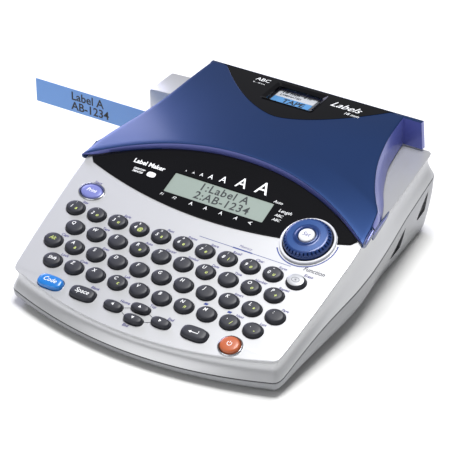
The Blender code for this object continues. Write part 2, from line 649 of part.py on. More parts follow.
def lid_body(inset=0.0, floor_drop=0.0, nu=16, nv=12):
    bm = bmesh.new()
    top = [[bm.verts.new(lid_surface(-1 + 2 * i / nu, j / nv, inset)) for i in range(nu + 1)]
           for j in range(nv + 1)]
    for j in range(nv):
        for i in range(nu):
            bm.faces.new((top[j][i], top[j][i + 1], top[j + 1][i + 1], top[j + 1][i]))
    foot = [[None] * (nu + 1) for _ in range(nv + 1)]
    for j in range(nv + 1):
        for i in range(nu + 1):
            if j in (0, nv) or i in (0, nu):
                side = 1 if i == nu else -1 if i == 0 else 0
                p = top[j][i].co
                foot[j][i] = bm.verts.new(lid_foot(p.x, p.y, side, j / nv, inset, floor_drop))
    rim = [(0, i) for i in range(nu + 1)] + [(j, nu) for j in range(1, nv + 1)]
    rim += [(nv, i) for i in range(nu - 1, -1, -1)] + [(j, 0) for j in range(nv - 1, 0, -1)]
    for k, (j, i) in enumerate(rim):
        j2, i2 = rim[(k + 1) % len(rim)]
        bm.faces.new((top[j][i], foot[j][i], foot[j2][i2], top[j2][i2]))
    for j in range(1, nv):
        for i in range(1, nu):
            p = top[j][i].co
            z = lerp(foot[j][0].co.z, foot[j][nu].co.z, 0.5)
            foot[j][i] = bm.verts.new((p.x, p.y, z))
    for j in range(nv):
        for i in range(nu):
            bm.faces.new((foot[j][i], foot[j + 1][i], foot[j + 1][i + 1], foot[j][i + 1]))
    return bm


def make_lid():
    lid = new_object("lid", lid_body(), BLUE, smooth_angle=35)
    cut(lid, lid_body(LID_WALL, 6.0), "lid_hollow")
    wall = bmesh.new()
    rear_wall = [(-84.6, DECK_Z + 1.6), (84.0, DECK_Z + 1.6), (82.2, LID_REAR_Z - 0.2),
                 (-82.6, LID_REAR_Z - 0.2)]
    loft([[(x, y, z) for x, z in rear_wall] for y in (BODY_REAR - 3.1, BODY_REAR + 0.4)], wall)
    cut(lid, wall, "lid_rear_wall", "UNION")
    post_x0, post_x1, boss_x0, boss_x1 = HINGE_X
    bosses = bmesh.new()
    bores = box(-130.0, -80.0, TAPE_Y - 2.5, TAPE_Y + 2.5, 50.0, TAPE_Z[1] + 1.2)
    openings = box(-27.0, 13.0, 86.0, 111.0, 70.0, 95.0)
    bore_r = HINGE_PIN_R + 0.1
    for side in (-1, 1):
        across([(HINGE_BOSS_R, side * boss_x0), (HINGE_BOSS_R, side * boss_x1)], bosses)
        x0, x1 = sorted((side * (post_x0 - 0.5), side * (post_x1 + 0.4)))
        box(x0, x1, HINGE_Y - 6.0, HINGE_Y + 6.0, 60.0, HINGE_Z + 3.6, openings)
        across([(bore_r, side * (post_x1 - 1.0)), (bore_r, side * (boss_x1 - 3.0))], bores)
    cut(lid, bosses, "lid_bosses", "UNION")
    cut(lid, openings, "lid_openings")
    cut(lid, bores, "lid_tape_notch_and_bores")
    glass = box(-26.7, 12.7, 86.3, 110.7, 79.6, 80.8)
    new_object("lid_window", glass, ((0.5, 0.55, 0.6), 0.1, 0.0))


def across(levels, bm):
    """Round body along the hinge axis from (radius, x) levels."""
    rings = []
    for r, x in levels:
        rings.append([(x, HINGE_Y + py, HINGE_Z + pz) for py, pz in ellipse(r, r, 16)])
    return loft(rings, bm)


def hinge_place(x):
    """Matrix whose local Z lies along the lid's hinge axis, at x on it."""
    return Matrix.Translation(Vector((x, HINGE_Y, HINGE_Z)) * MM) @ Matrix.Rotation(math.pi / 2, 4, "Y")


def make_hinge(upper):
    """Posts on the case and a steel pin in each, which carries the lid's boss."""
    post_x0, post_x1, boss_x0, boss_x1 = HINGE_X
    for name, side in (("hinge_pin_left", -1), ("hinge_pin_right", 1)):
        x0, x1 = sorted((side * post_x0, side * post_x1))
        post = box(x0, x1, HINGE_Y - 2.0, HINGE_Y + 1.2, DECK_Z - 1.5, HINGE_Z + 2.4)
        cut(upper, post, f"post_{side}", "UNION")
        middle = side * (post_x0 + boss_x0 + 4.0) / 2
        half = (boss_x0 + 4.0 - post_x0) / 2 + 0.2
        bore = disc_stack([(HINGE_PIN_R + 0.05, -half - 2), (HINGE_PIN_R + 0.05, half)], 16)
        cut(upper, bore, f"post_bore_{side}", "DIFFERENCE", hinge_place(middle))
        pin = new_object(name, disc_stack([(HINGE_PIN_R, -half), (HINGE_PIN_R, half)], 16), STEEL,
                         smooth_angle=40)
        pin.matrix_world = hinge_place(middle)


def gear_outline(teeth, phase, centre):
    """Trapezoid teeth on the pitch circle; phase is the angle of a tooth's middle."""
    pitch_r = GEAR_MODULE * teeth / 2
    root_r = pitch_r - 1.05 * GEAR_MODULE
    tip_r = pitch_r + 0.75 * GEAR_MODULE
    root_half = 0.85 * GEAR_MODULE / root_r
    tip_half = 0.33 * GEAR_MODULE / tip_r
    points = []
    for k in range(teeth):
        a = phase + 2 * math.pi * k / teeth
        for r, da in ((root_r, -root_half), (tip_r, -tip_half), (tip_r, tip_half), (root_r, root_half)):
            points.append((centre[0] + r * math.cos(a + da), centre[1] + r * math.sin(a + da)))
    return points


def mesh_phase(driver, driver_teeth, driver_phase, centre, teeth):
    """Phase that puts a tooth gap of the driven gear on a tooth of its driver."""
    line = math.atan2(centre[1] - driver[1], centre[0] - driver[0])
    pitch = 2 * math.pi / driver_teeth
    lead = ((line - driver_phase) / pitch) % 1.0
    return line + math.pi + (lead + 0.5) * 2 * math.pi / teeth


def apex(a, ra, b, rb, side):
    """Point at distances ra from a and rb from b, on the chosen side of the line from a to b."""
    ax, ay = a
    dx, dy = b[0] - ax, b[1] - ay
    d = math.hypot(dx, dy)
    along = (ra * ra - rb * rb + d * d) / (2 * d)
    off = math.sqrt(max(ra * ra - along * along, 0.0)) * side
    return (ax + (dx * along - dy * off) / d, ay + (dy * along + dx * off) / d)


def centre_distance(a, b):
    return GEAR_MODULE * (TEETH[a] + TEETH[b]) / 2


ROLLER_DISTANCE = centre_distance("reduction", "roller")
REDUCTION = apex(PLATEN, ROLLER_DISTANCE, FEED, ROLLER_DISTANCE, -1)
IDLER = apex(REDUCTION, centre_distance("reduction", "idler"),
             TAKE_UP, centre_distance("idler", "spindle"), -1)
PINION = (REDUCTION[0] + centre_distance("reduction", "pinion") * math.cos(PINION_ANGLE),
          REDUCTION[1] + centre_distance("reduction", "pinion") * math.sin(PINION_ANGLE))
def local(points, centre):
    return [(x - centre[0], y - centre[1]) for x, y in points]


def gear_part(name, teeth, phase, centre, z_range, shafts, look):
    """Gear with coaxial round stretches of (radius, z0, z1), its origin on its own axis."""
    bm = prism(local(gear_outline(teeth, phase, centre), centre), *z_range)
    gear = new_object(name, bm, look, (centre[0], centre[1], 0.0))
    for k, (radius, z0, z1) in enumerate(shafts):
        shaft = disc_stack([(radius, z0), (radius, z1)], 16)
        cut(gear, shaft, f"{name}_shaft_{k}", "UNION",
            Matrix.Translation(Vector((centre[0], centre[1], 0.0)) * MM))
    return gear


def make_print_unit():
    reduction_phase = 0.0
    phases = {}
    for name, centre, teeth in (("platen", PLATEN, "roller"), ("feed", FEED, "roller"),
                                ("idler", IDLER, "idler"), ("pinion", PINION, "pinion")):
        phases[name] = mesh_phase(REDUCTION, TEETH["reduction"], reduction_phase, centre, TEETH[teeth])
    phases["spindle"] = mesh_phase(IDLER, TEETH["idler"], phases["idler"], TAKE_UP, TEETH["spindle"])

    lower, upper = LOWER_GEARS, UPPER_GEARS
    gear = gear_part("reduction_gear", TEETH["reduction"], reduction_phase, REDUCTION, upper,
                     [(SHAFT_R, lower[0] + 0.5, upper[1] + 2.0)], CREAM)
    disc = prism(local(gear_outline(TEETH["reduction"], reduction_phase, REDUCTION), REDUCTION), *lower)
    cut(gear, disc, "reduction_lower_disc", "UNION",
        Matrix.Translation(Vector((REDUCTION[0], REDUCTION[1], 0.0)) * MM))
    gear_part("idler_gear", TEETH["idler"], phases["idler"], IDLER, lower,
              [(SHAFT_R, lower[0] - 2.0, lower[1] + 1.0)], CREAM)
    gear_part("motor_pinion", TEETH["pinion"], phases["pinion"], PINION, lower,
              [(1.0, lower[0] - 2.2, lower[1] + 0.5)], BRASS)
    gear_part("ribbon_spindle", TEETH["spindle"], phases["spindle"], TAKE_UP, lower,
              [(2.4, lower[1] - 0.5, 66.0)], CREAM)
    gear_part("platen_roller", TEETH["roller"], phases["platen"], PLATEN, upper,
              [(4.1, upper[1] - 0.4, 70.9), (1.2, 70.5, 73.2)], RUBBER)
    gear_part("feed_roller", TEETH["roller"], phases["feed"], FEED, upper,
              [(3.1, upper[1] - 0.4, 70.9), (1.2, 70.5, 73.2)], RUBBER)
    low, high = MOTOR_Z
    motor = disc_stack([(MOTOR_R, low), (MOTOR_R, high), (3.0, high), (3.0, high + 1.8)], 24)
    new_object("feed_motor", motor, STEEL, (PINION[0], PINION[1], 0.0), 40)

    arm_z = (71.3, 72.9)
    outline = [(-79.0, 40.4), (-50.8, 36.0), (-50.8, 42.0), (-57.0, 46.2), (-79.0, 46.2)]
    holder = new_object("roller_holder", prism(outline, *arm_z), GREY)
    px, py = HOLDER_PIVOT
    leg = disc_stack([(2.0, BAY_FLOOR[1] + GAP), (2.0, arm_z[1] - 0.2)], 12, None, (px, py))
    cut(holder, leg, "holder_leg", "UNION")
    bores = bmesh.new()
    for x, y in (PLATEN, FEED):
        disc_stack([(1.35, 70.0), (1.35, 76.0)], 12, bores, (x, y))
    cut(holder, bores, "holder_bores")

    z0, z1 = TAPE_Z
    new_object("print_head", box(-65.5, -55.5, TAPE_Y + 0.45, TAPE_Y + 1.45, z0 - 1.0, z1 + 1.0), CREAM)
    sink = box(-67.5, -52.6, TAPE_Y + 1.75, TAPE_Y + 3.6, z0 - 1.2, z1 + 2.0)
    sink = new_object("heat_sink", sink, STEEL)
    foot = box(-55.6, -52.6, TAPE_Y + 1.75, TAPE_Y + 6.0, BAY_FLOOR[1] + GAP, z0 + 3.0)
    cut(sink, foot, "sink_foot", "UNION")
    new_object("inner_tape", box(CUT_X + 3.2, CASSETTE[0] - GAP, TAPE_Y - 0.12, TAPE_Y + 0.12, z0, z1),
               ((0.3, 0.55, 0.85), 0.4, 0.0))
    new_object("label_tape", box(TAPE_END_X, CUT_X - 2.2, TAPE_Y - 0.15, TAPE_Y + 0.15, z0, z1),
               ((0.3, 0.55, 0.85), 0.4, 0.0))
    new_object("fixed_blade", box(CUT_X - 1.5, CUT_X - 0.5, TAPE_Y + 0.8, TAPE_Y + 5.0, z0 - 1.5, z1 + 0.8),
               STEEL)

    py, pz = CUT_PIVOT
    blade = [(-1.8, -1.8), (1.8, -1.8), (4.4, 2.0), (4.4, 22.0), (0.5, 22.0), (-1.8, 2.0)]
    lean_y, lean_z = math.sin(CUT_ANGLE), math.cos(CUT_ANGLE)
    blade = [(y * lean_z - z * lean_y, y * lean_y + z * lean_z) for y, z in blade]
    bm = loft([[(x, y, z) for y, z in blade] for x in (-0.45, 0.45)])
    new_object("moving_blade", bm, STEEL, (CUT_X + 0.3, py, pz))
    crank_y, crank_z, crank_r = CUTTER_GEAR
    crank = disc_stack([(crank_r, -1.2), (crank_r, 1.2)], 20)
    crank = new_object("cutter_gear", crank, CREAM, (CUT_X + 2.6, crank_y, crank_z), 40)
    crank.rotation_euler = (0, math.pi / 2, 0)


def make_bay():
    """Cassette bay: an open tray under the lid, with holes for shafts and a slot for the tape."""
    z0, z1 = BAY_FLOOR
    bay = new_object("cassette_bay", prism(bay_outline(0.0), z0, BAY_TOP), GREY)
    cut(bay, prism(bay_outline(1.5), z1, BAY_TOP + 5.0), "bay_hollow")
    holes = bmesh.new()
    for (x, y), radius in ((REDUCTION, SHAFT_R), (TAKE_UP, 2.4)):
        disc_stack([(radius + 0.6, z0 - 2), (radius + 0.6, z1 + 2)], 16, holes, (x, y))
    cut(bay, holes, "bay_shaft_holes")
    x0 = BAY[0]
    slot = box(x0 - 2.0, x0 + 3.0, TAPE_Y - 2.2, TAPE_Y + 2.2, TAPE_Z[0] - 1.5, BAY_TOP + 5.0)
    cut(bay, slot, "bay_tape_slot")


def make_cassette():
    x0, x1, y0, y1, z0, z1 = CASSETTE
    split = lerp(z0, z1, 0.5)
    outline = rounded_rect(x0, x1, y0, y1, 4.0, 2)
    inner = rounded_rect(x0 + 1.4, x1 - 1.4, y0 + 1.4, y1 - 1.4, 3.0, 2)
    lower = new_object("cassette_lower", prism(outline, z0, split - 0.15), CREAM)
    cut(lower, prism(inner, z0 + 1.2, split + 3), "cassette_lower_hollow")
    cut(lower, disc_stack([(3.2, z0 - 2), (3.2, z0 + 3)], 16, None, TAKE_UP), "cassette_spindle_hole")
    upper = new_object("cassette_upper", prism(outline, split + 0.15, z1), ((0.7, 0.78, 0.85), 0.3, 0.0))
    cut(upper, prism(inner, split - 3, z1 - 1.2), "cassette_upper_hollow")
    for name, (centre, radius, bore) in SPOOLS.items():
        profile = [(radius, z0 + 2.0), (radius, z1 - 2.2), (bore, z1 - 2.2), (bore, z0 + 2.0)]
        place = (centre[0], centre[1], 0.0)
        new_object(name, turned_ring(profile, 24), ((0.3, 0.5, 0.8), 0.4, 0.0), place, 40)


def make_exit_housing():
    """Raised block on the left deck, behind the tape, with a skirt outside the case."""
    profile = [(-87.6, DECK_Z + 0.4), (-87.6, 75.4), (-105.0, 74.6), (-106.0, 73.6), (-106.0, 46.0),
               (-101.0, 46.0), (-101.0, DECK_Z + 0.4)]
    bm = loft([[(x, y, z) for x, z in profile] for y in (70.0, 97.5)])
    new_object("tape_exit_housing", bm, SILVER)


def main():
    for obj in list(bpy.data.objects):
        bpy.data.objects.remove(obj, do_unlink=True)
    upper = make_cases()
    make_hinge(upper)
    make_bottom_parts()
    make_boards()
    make_keys()
    make_dial()
    make_display_panel()
    make_lid()
    make_bay()
    make_print_unit()
    make_cassette()
    make_exit_housing()


main()
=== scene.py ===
"""Looks of the desktop label maker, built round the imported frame.

Sizes are in millimetres and become metres where a mesh is made. X runs to the right along the key rows, Y to
the back and Z up. On the keyboard plate a place is (x, s, h): s up the slope and h along its normal.
"""
import json
import math

import bmesh
import bpy
from mathutils import Matrix, Vector


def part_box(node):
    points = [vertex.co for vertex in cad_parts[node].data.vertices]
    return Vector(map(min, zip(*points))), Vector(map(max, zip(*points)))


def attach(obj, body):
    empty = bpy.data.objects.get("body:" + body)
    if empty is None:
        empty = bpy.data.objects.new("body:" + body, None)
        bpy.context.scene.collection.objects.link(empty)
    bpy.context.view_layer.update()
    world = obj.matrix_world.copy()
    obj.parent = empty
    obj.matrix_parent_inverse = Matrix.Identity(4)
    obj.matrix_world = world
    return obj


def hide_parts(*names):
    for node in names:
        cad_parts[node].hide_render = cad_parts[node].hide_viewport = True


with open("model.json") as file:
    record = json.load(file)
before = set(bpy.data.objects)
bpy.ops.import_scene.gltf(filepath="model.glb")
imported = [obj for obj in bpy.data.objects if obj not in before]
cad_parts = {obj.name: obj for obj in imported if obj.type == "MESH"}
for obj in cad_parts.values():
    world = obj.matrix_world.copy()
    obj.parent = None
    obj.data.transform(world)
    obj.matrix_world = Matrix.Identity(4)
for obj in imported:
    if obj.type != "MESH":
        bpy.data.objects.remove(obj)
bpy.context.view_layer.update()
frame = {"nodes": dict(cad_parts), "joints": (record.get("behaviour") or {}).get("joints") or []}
JOINTS = {joint["name"]: joint for joint in frame["joints"]}

MM = 0.001

# Driving dimensions, as in the part
CORNER_Y = -102.0
CORNER_X = 98.0
BODY_FRONT = -118.0
BODY_REAR = 115.0
PLATE_CORNER_Z = 26.7
PLATE_TILT = math.radians(20.0)
DECK_Z = 61.5
BOTTOM_Z = 1.2
KEY_PITCH = 16.58
ROW_PITCH = 14.35
ROW_STAGGER = 8.8
FIRST_KEY_X = -86.3
NUMBER_ROW_S = 57.1
KEY_SIZE = (6.5, 5.2)
LENS_HALF = 100.0
LENS_TIP_Y = -11.0
LENS_FRONT_Y = -27.0
LID_FRONT_MID_Y = 23.0
LID_TIP_Y = -12.0
LID_TIP_X = 106.0
LID_REAR_Z = 83.0
LID_EDGE_H = 5.6
LID_BULGE = 16.0
LCD_BOX = (-39.5, 36.0, 91.0, 108.5)
DIAL = (71.0, 88.6)
DIAL_RING_R = 18.3
DIAL_HOLE_R = 11.0
DIAL_NOTCHES = 36
TAPE_Y = 48.0
TAPE_SLOT_Y = (TAPE_Y - 2.5, TAPE_Y + 2.5)
BAY_CUT_Z = (50.0, 80.0)
PANEL_INK_H = 1.08           # height of print over the keyboard plate, on the black panel
PLATE_INK_H = 0.06           # and on the plate itself

# Tables of (y, value) along the case
EDGE_X = [(CORNER_Y, CORNER_X), (-80, 100.2), (-50, 102.4), (-10, 104.0), (33, 100.5), (BODY_REAR, 90.0)]
SEAM_OUT = [(BODY_FRONT, 3.0), (CORNER_Y, 2.0), (0, 1.8), (55, 2.6), (BODY_REAR, 3.2)]
SEAM_Z = [(BODY_FRONT, 8.8), (CORNER_Y, 11.5), (-80, 19.0), (-55, 25.5), (-14, 30.5), (8, 32.5),
          (28, 35.5), (58, 41.0), (85, 43.0), (BODY_REAR, 45.0)]
BELLY_Z = [(BODY_FRONT, 4.0), (CORNER_Y, 6.5), (-75, 11.0), (-38, 14.5), (1, 16.5), (22, 14.5), (43, 8.0),
           (60, 4.5), (BODY_REAR, 4.5)]
BELLY_OUT = [(BODY_FRONT, 1.5), (-75, 1.0), (1, 0.0), (22, -2.5), (43, -5.5), (60, -5.5), (85, -4.0),
             (BODY_REAR, -2.0)]
SOLE_OUT = [(BODY_FRONT, -7.0), (-75, -12.0), (1, -16.0), (22, -14.0), (43, -10.0), (60, -9.0),
            (BODY_REAR, -6.0)]
LID_RIGHT_TOP = [(LID_TIP_Y, 106.0), (16, 101.0), (24, 95.5), (36, 88.0), (55, 79.5), (72, 74.5), (90, 71.0),
                 (BODY_REAR, 68.0)]
LID_RIGHT_FOOT = [(LID_TIP_Y, 106.0), (16, 103.0), (34, 96.0), (51, 87.0), (66, 80.5), (80, 75.5),
                  (104, 70.5), (BODY_REAR, 69.0)]
LID_LEFT_TOP = [(LID_TIP_Y, -106.0), (10, -100.5), (33, -92.5), (50, -88.0), (65, -85.5), (90, -83.5),
                (BODY_REAR, -82.0)]
LID_LEFT_FOOT = [(LID_TIP_Y, -106.0), (10, -102.5), (33, -95.0), (50, -90.0), (65, -87.5), (90, -85.5),
                 (BODY_REAR, -84.0)]

# name: x, s, half width, half depth, outline power, legend, legend size
FUNCTION_KEYS = {
    "shift_key": (-76.5, 14.05, 6.5, 5.2, 2.0, "Shift", 3.1),
    "alt_key": (-85.3, 28.4, 6.5, 5.2, 2.0, "Alt", 3.4),
    "clear_key": (FIRST_KEY_X + 10 * KEY_PITCH, 57.1, 6.5, 5.2, 2.0, "X", 3.2),
    "print_key": (-84.0, 73.4, 8.0, 5.6, 2.0, "Print", 3.4),
    "code_key": (-67.8, -1.9, 9.0, 4.7, 3.0, "Code", 4.0),
    "space_key": (-43.0, -1.9, 9.0, 4.7, 3.0, "Space", 4.0),
    "left_key": (-19.3, -2.8, 6.6, 3.4, 2.6, "", 0.0),
    "up_key": (-1.6, 1.9, 6.6, 3.2, 2.6, "", 0.0),
    "down_key": (-1.6, -7.2, 6.6, 3.2, 2.6, "", 0.0),
    "right_key": (16.1, -2.8, 6.6, 3.4, 2.6, "", 0.0),
    "enter_key": (40.2, -1.9, 9.0, 4.7, 3.0, "", 0.0),
    "power_key": (65.4, -1.2, 6.6, 6.0, 2.0, "", 0.0),
}
KEY_ROWS = ("1234567890", "QWERTYUIOP", "ASDFGHJKL:", "ZXCVBNM,.")


# ---- Curves and places --------------------------------------------------------------------------------

FLAT_FACE = 0.9998           # least cosine at which a face counts as lying in a plane
PLATE_NORMAL = Vector((0.0, -math.sin(PLATE_TILT), math.cos(PLATE_TILT)))
UP = Vector((0.0, 0.0, 1.0))


def lerp(a, b, t):
    return a + (b - a) * t


def curve_at(points, t):
    """Smooth value at t of a curve through a few (t, value) design points."""
    if t <= points[0][0]:
        return points[0][1]
    for i in range(len(points) - 1):
        (t0, v0), (t1, v1) = points[i], points[i + 1]
        if t <= t1:
            before = points[max(i - 1, 0)]
            after = points[min(i + 2, len(points) - 1)]
            m0 = (v1 - before[1]) / (t1 - before[0])
            m1 = (after[1] - v0) / (after[0] - t0)
            u = (t - t0) / (t1 - t0)
            h = t1 - t0
            return ((2 * u**3 - 3 * u**2 + 1) * v0 + (u**3 - 2 * u**2 + u) * h * m0
                    + (3 * u**2 - 2 * u**3) * v1 + (u**3 - u**2) * h * m1)
    return points[-1][1]


def plate_z(y):
    return PLATE_CORNER_Z + (y - CORNER_Y) * math.tan(PLATE_TILT)


def plate_point(x, s, h=0.0):
    return Vector((x,
                   CORNER_Y + s * math.cos(PLATE_TILT) - h * math.sin(PLATE_TILT),
                   PLATE_CORNER_Z + s * math.sin(PLATE_TILT) + h * math.cos(PLATE_TILT)))


def on_plate(x, s, h=0.0):
    """Matrix in metres whose local XY plane is the plate."""
    return Matrix.Translation(plate_point(x, s, h) * MM) @ Matrix.Rotation(PLATE_TILT, 4, "X")


def edge_z(y):
    return min(plate_z(y), DECK_Z)


def seam_z(y):
    return curve_at(SEAM_Z, y)


def lid_front_y(x):
    t = min(abs(x) / LID_TIP_X, 1.0)
    return LID_FRONT_MID_Y + (LID_TIP_Y - LID_FRONT_MID_Y) * t ** 2.1


def panel_front_y(x):
    t = min(abs(x) / LENS_HALF, 1.0)
    return LENS_FRONT_Y + (LENS_TIP_Y - LENS_FRONT_Y) * t ** 2


def ellipse(rx, ry, count, power=2.0):
    points = []
    for i in range(count):
        a = 2 * math.pi * i / count
        c, s = math.cos(a), math.sin(a)
        points.append((rx * math.copysign(abs(c) ** (2 / power), c),
                       ry * math.copysign(abs(s) ** (2 / power), s)))
    return points


def rounded_rect(x0, x1, y0, y1, radius, steps=5):
    points = []
    for cx, cy, start in ((x1 - radius, y0 + radius, -90), (x1 - radius, y1 - radius, 0),
                          (x0 + radius, y1 - radius, 90), (x0 + radius, y0 + radius, 180)):
        for i in range(steps + 1):
            a = math.radians(start + 90 * i / steps)
            points.append((cx + radius * math.cos(a), cy + radius * math.sin(a)))
    return points


# ---- Materials ----------------------------------------------------------------------------------------

def node_material(name, colour, roughness, metallic=0.0, coat=0.0, coat_roughness=0.05, grain=0.3, scale=900.0,
                  spread=0.06, bump=0.04):
    """Principled surface whose colour and roughness vary with two fine noises, and a slight bump."""
    mat = bpy.data.materials.new(name)
    mat.use_nodes = True
    nodes, links = mat.node_tree.nodes, mat.node_tree.links
    shader = nodes["Principled BSDF"]
    shader.inputs["Metallic"].default_value = metallic
    shader.inputs["Coat Weight"].default_value = coat
    shader.inputs["Coat Roughness"].default_value = coat_roughness
    place = nodes.new("ShaderNodeTexCoord")
    fine = nodes.new("ShaderNodeTexNoise")
    fine.inputs["Scale"].default_value = scale
    fine.inputs["Detail"].default_value = 3.0
    broad = nodes.new("ShaderNodeTexNoise")
    broad.inputs["Scale"].default_value = 18.0
    links.new(place.outputs["Object"], fine.inputs["Vector"])
    links.new(place.outputs["Object"], broad.inputs["Vector"])
    tint = nodes.new("ShaderNodeMix")
    tint.data_type = "RGBA"
    tint.inputs["A"].default_value = (*[max(c * (1 - spread), 0.0) for c in colour], 1.0)
    tint.inputs["B"].default_value = (*[min(c * (1 + spread), 1.0) for c in colour], 1.0)
    mixed = nodes.new("ShaderNodeMath")
    mixed.operation = "MULTIPLY_ADD"
    mixed.inputs[1].default_value = grain
    links.new(fine.outputs["Fac"], mixed.inputs[0])
    links.new(broad.outputs["Fac"], mixed.inputs[2])
    links.new(mixed.outputs["Value"], tint.inputs["Factor"])
    links.new(tint.outputs["Result"], shader.inputs["Base Color"])
    rough = nodes.new("ShaderNodeMapRange")
    rough.inputs["To Min"].default_value = roughness * 0.88
    rough.inputs["To Max"].default_value = roughness * 1.12
    links.new(fine.outputs["Fac"], rough.inputs["Value"])
    links.new(rough.outputs["Result"], shader.inputs["Roughness"])
    if bump:
        relief = nodes.new("ShaderNodeBump")
        relief.inputs["Strength"].default_value = bump
        relief.inputs["Distance"].default_value = 0.0001
        links.new(fine.outputs["Fac"], relief.inputs["Height"])
        links.new(relief.outputs["Normal"], shader.inputs["Normal"])
    return mat


def make_materials():
    make = node_material
    return {
        "silver": make("silver_paint", (0.53, 0.535, 0.55), 0.36, 0.55, 0.1, 0.2, scale=2600.0, spread=0.03),
        "shell": make("grey_silver_paint", (0.25, 0.255, 0.27), 0.36, 0.6, 0.1, 0.2, scale=2600.0, spread=0.04),
        "blue": make("blue_metallic_gloss", (0.004, 0.030, 0.125), 0.36, 0.65, 0.4, 0.16, scale=3500.0,
                     spread=0.10, bump=0.0),
        # Lighter copy of the lid's blue for its sides, rims and skirt ribs: painted highlight on the same paint.
        "blue_edge_highlight": make("blue_painted_highlight_gloss", (0.10, 0.12, 0.40), 0.30, 0.35, 0.5, 0.14, scale=3500.0, bump=0.0),
        "blue_inside": make("blue_moulded_inside", (0.02, 0.05, 0.22), 0.5, 0.1, scale=1200.0),
        "black": make("black_gloss", (0.003, 0.003, 0.004), 0.14, 0.0, 0.0, 0.04, spread=0.3, bump=0.0),
        "key": make("key_rubber", (0.010, 0.011, 0.018), 0.46, 0.0, scale=1800.0, spread=0.15, bump=0.12),
        "key_silver": make("key_silver", (0.44, 0.45, 0.47), 0.35, 0.3, 0.2, 0.2),
        "lavender": make("key_lavender", (0.16, 0.18, 0.46), 0.36, 0.1, 0.2, 0.15),
        "code_blue": make("key_blue", (0.004, 0.16, 0.52), 0.3, 0.0, 0.4, 0.08),
        "orange": make("key_orange", (0.44, 0.10, 0.03), 0.36, 0.0, 0.2, 0.12),
        "chrome": make("plated_rim", (0.50, 0.51, 0.54), 0.22, 1.0, bump=0.0),
        "dial": make("dial_blue", (0.006, 0.032, 0.15), 0.32, 0.2, 0.3, 0.12, bump=0.0),
        "dial_light": make("dial_face_blue", (0.010, 0.055, 0.21), 0.34, 0.2, 0.2, 0.12, bump=0.0),
        "white": make("white_plastic", (0.66, 0.67, 0.71), 0.3, 0.0, 0.4, 0.1),
        "ink_white": make("white_print", (0.82, 0.83, 0.84), 0.5, spread=0.05),
        "ink_green": make("green_print", (0.52, 0.60, 0.16), 0.5, spread=0.05),
        "ink_violet": make("violet_print", (0.05, 0.045, 0.20), 0.5, spread=0.05),
        "ink_blue": make("blue_print", (0.012, 0.035, 0.22), 0.45, spread=0.05),
        "ink_grey": make("grey_print", (0.06, 0.06, 0.08), 0.5, spread=0.05),
        "ink_lcd": make("lcd_ink", (0.012, 0.016, 0.018), 0.6, spread=0.05),
        "lcd": make("lcd_glass", (0.25, 0.30, 0.27), 0.3, 0.0, 0.2, 0.06, scale=300.0, spread=0.05, bump=0.0),
        "tape": make("tape_laminate", (0.09, 0.27, 0.66), 0.4, 0.0, 0.7, 0.08, scale=500.0, spread=0.03),
        # Dark grey: the socket's own colour and the dark seam line; on the trays in the port recesses it is
        # painted shade.
        "recess": make("port_dark_and_painted_shade", (0.03, 0.03, 0.035), 0.5, spread=0.2),
        "rubber": make("foot_rubber", (0.025, 0.025, 0.027), 0.8, scale=1500.0, spread=0.2, bump=0.3),
        "label": make("cassette_label", (0.72, 0.75, 0.80), 0.5, spread=0.03),
        "label_blue": make("cassette_label_blue", (0.12, 0.38, 0.78), 0.5, spread=0.03),
        "cassette": make("cassette_plastic", (0.60, 0.66, 0.72), 0.3, 0.0, 0.3, 0.1),
        "bay": make("bay_plastic", (0.11, 0.115, 0.125), 0.55, 0.0, scale=1400.0, spread=0.12, bump=0.15),
        "gear": make("acetal", (0.72, 0.70, 0.63), 0.42, 0.0, scale=900.0),
        "steel": make("bright_steel", (0.56, 0.57, 0.59), 0.28, 1.0, scale=2200.0, bump=0.05),
        "brass": make("turned_brass", (0.72, 0.52, 0.22), 0.3, 1.0, scale=2200.0),
        "board": make("solder_mask", (0.02, 0.16, 0.07), 0.35, 0.0, 0.4, 0.1),
        "ceramic": make("glazed_ceramic", (0.72, 0.72, 0.68), 0.18, 0.0, 0.5, 0.05),
    }


def window_material():
    """Tinted window: mostly clear, with the gloss of a moulded lens."""
    mat = bpy.data.materials.new("window_clear")
    mat.use_nodes = True
    nodes, links = mat.node_tree.nodes, mat.node_tree.links
    shader = nodes["Principled BSDF"]
    shader.inputs["Base Color"].default_value = (0.03, 0.03, 0.04, 1.0)
    shader.inputs["Roughness"].default_value = 0.06
    noise = nodes.new("ShaderNodeTexNoise")
    noise.inputs["Scale"].default_value = 60.0
    amount = nodes.new("ShaderNodeMapRange")
    amount.inputs["To Min"].default_value = 0.10
    amount.inputs["To Max"].default_value = 0.16
    links.new(noise.outputs["Fac"], amount.inputs["Value"])
    links.new(amount.outputs["Result"], shader.inputs["Alpha"])
    return mat


# ---- Mesh helpers -------------------------------------------------------------------------------------

MATERIALS = make_materials()
MATERIALS["window"] = window_material()
MATERIALS["black"].node_tree.nodes["Principled BSDF"].inputs["IOR"].default_value = 1.32


def link(name, data):
    """New object of some data, linked into the scene."""
    obj = bpy.data.objects.new(name, data)
    bpy.context.scene.collection.objects.link(obj)
    return obj


def paint(obj, *looks):
    """Give an object these materials and no others."""
    obj.data.materials.clear()
    for look in looks:
        obj.data.materials.append(MATERIALS[look])


def piece(name, bm, look, body="base", angle=35.0, matrix=None, normals=True):
    """Turn a bmesh in millimetres into a smooth-shaded piece that rides on a body."""
    if normals:
        bmesh.ops.recalc_face_normals(bm, faces=bm.faces)
    bmesh.ops.scale(bm, vec=(MM, MM, MM), verts=bm.verts)
    if matrix is not None:
        bmesh.ops.transform(bm, matrix=matrix, verts=bm.verts)
    mesh = bpy.data.meshes.new(name)
    bm.to_mesh(mesh)
    bm.free()
    mesh.materials.append(MATERIALS[look])
    obj = link(name, mesh)
    smooth(obj, angle)
    if body:
        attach(obj, body)
    return obj


def smooth(obj, angle):
    obj.data.shade_smooth()
    obj.data.set_sharp_from_angle(angle=math.radians(angle))


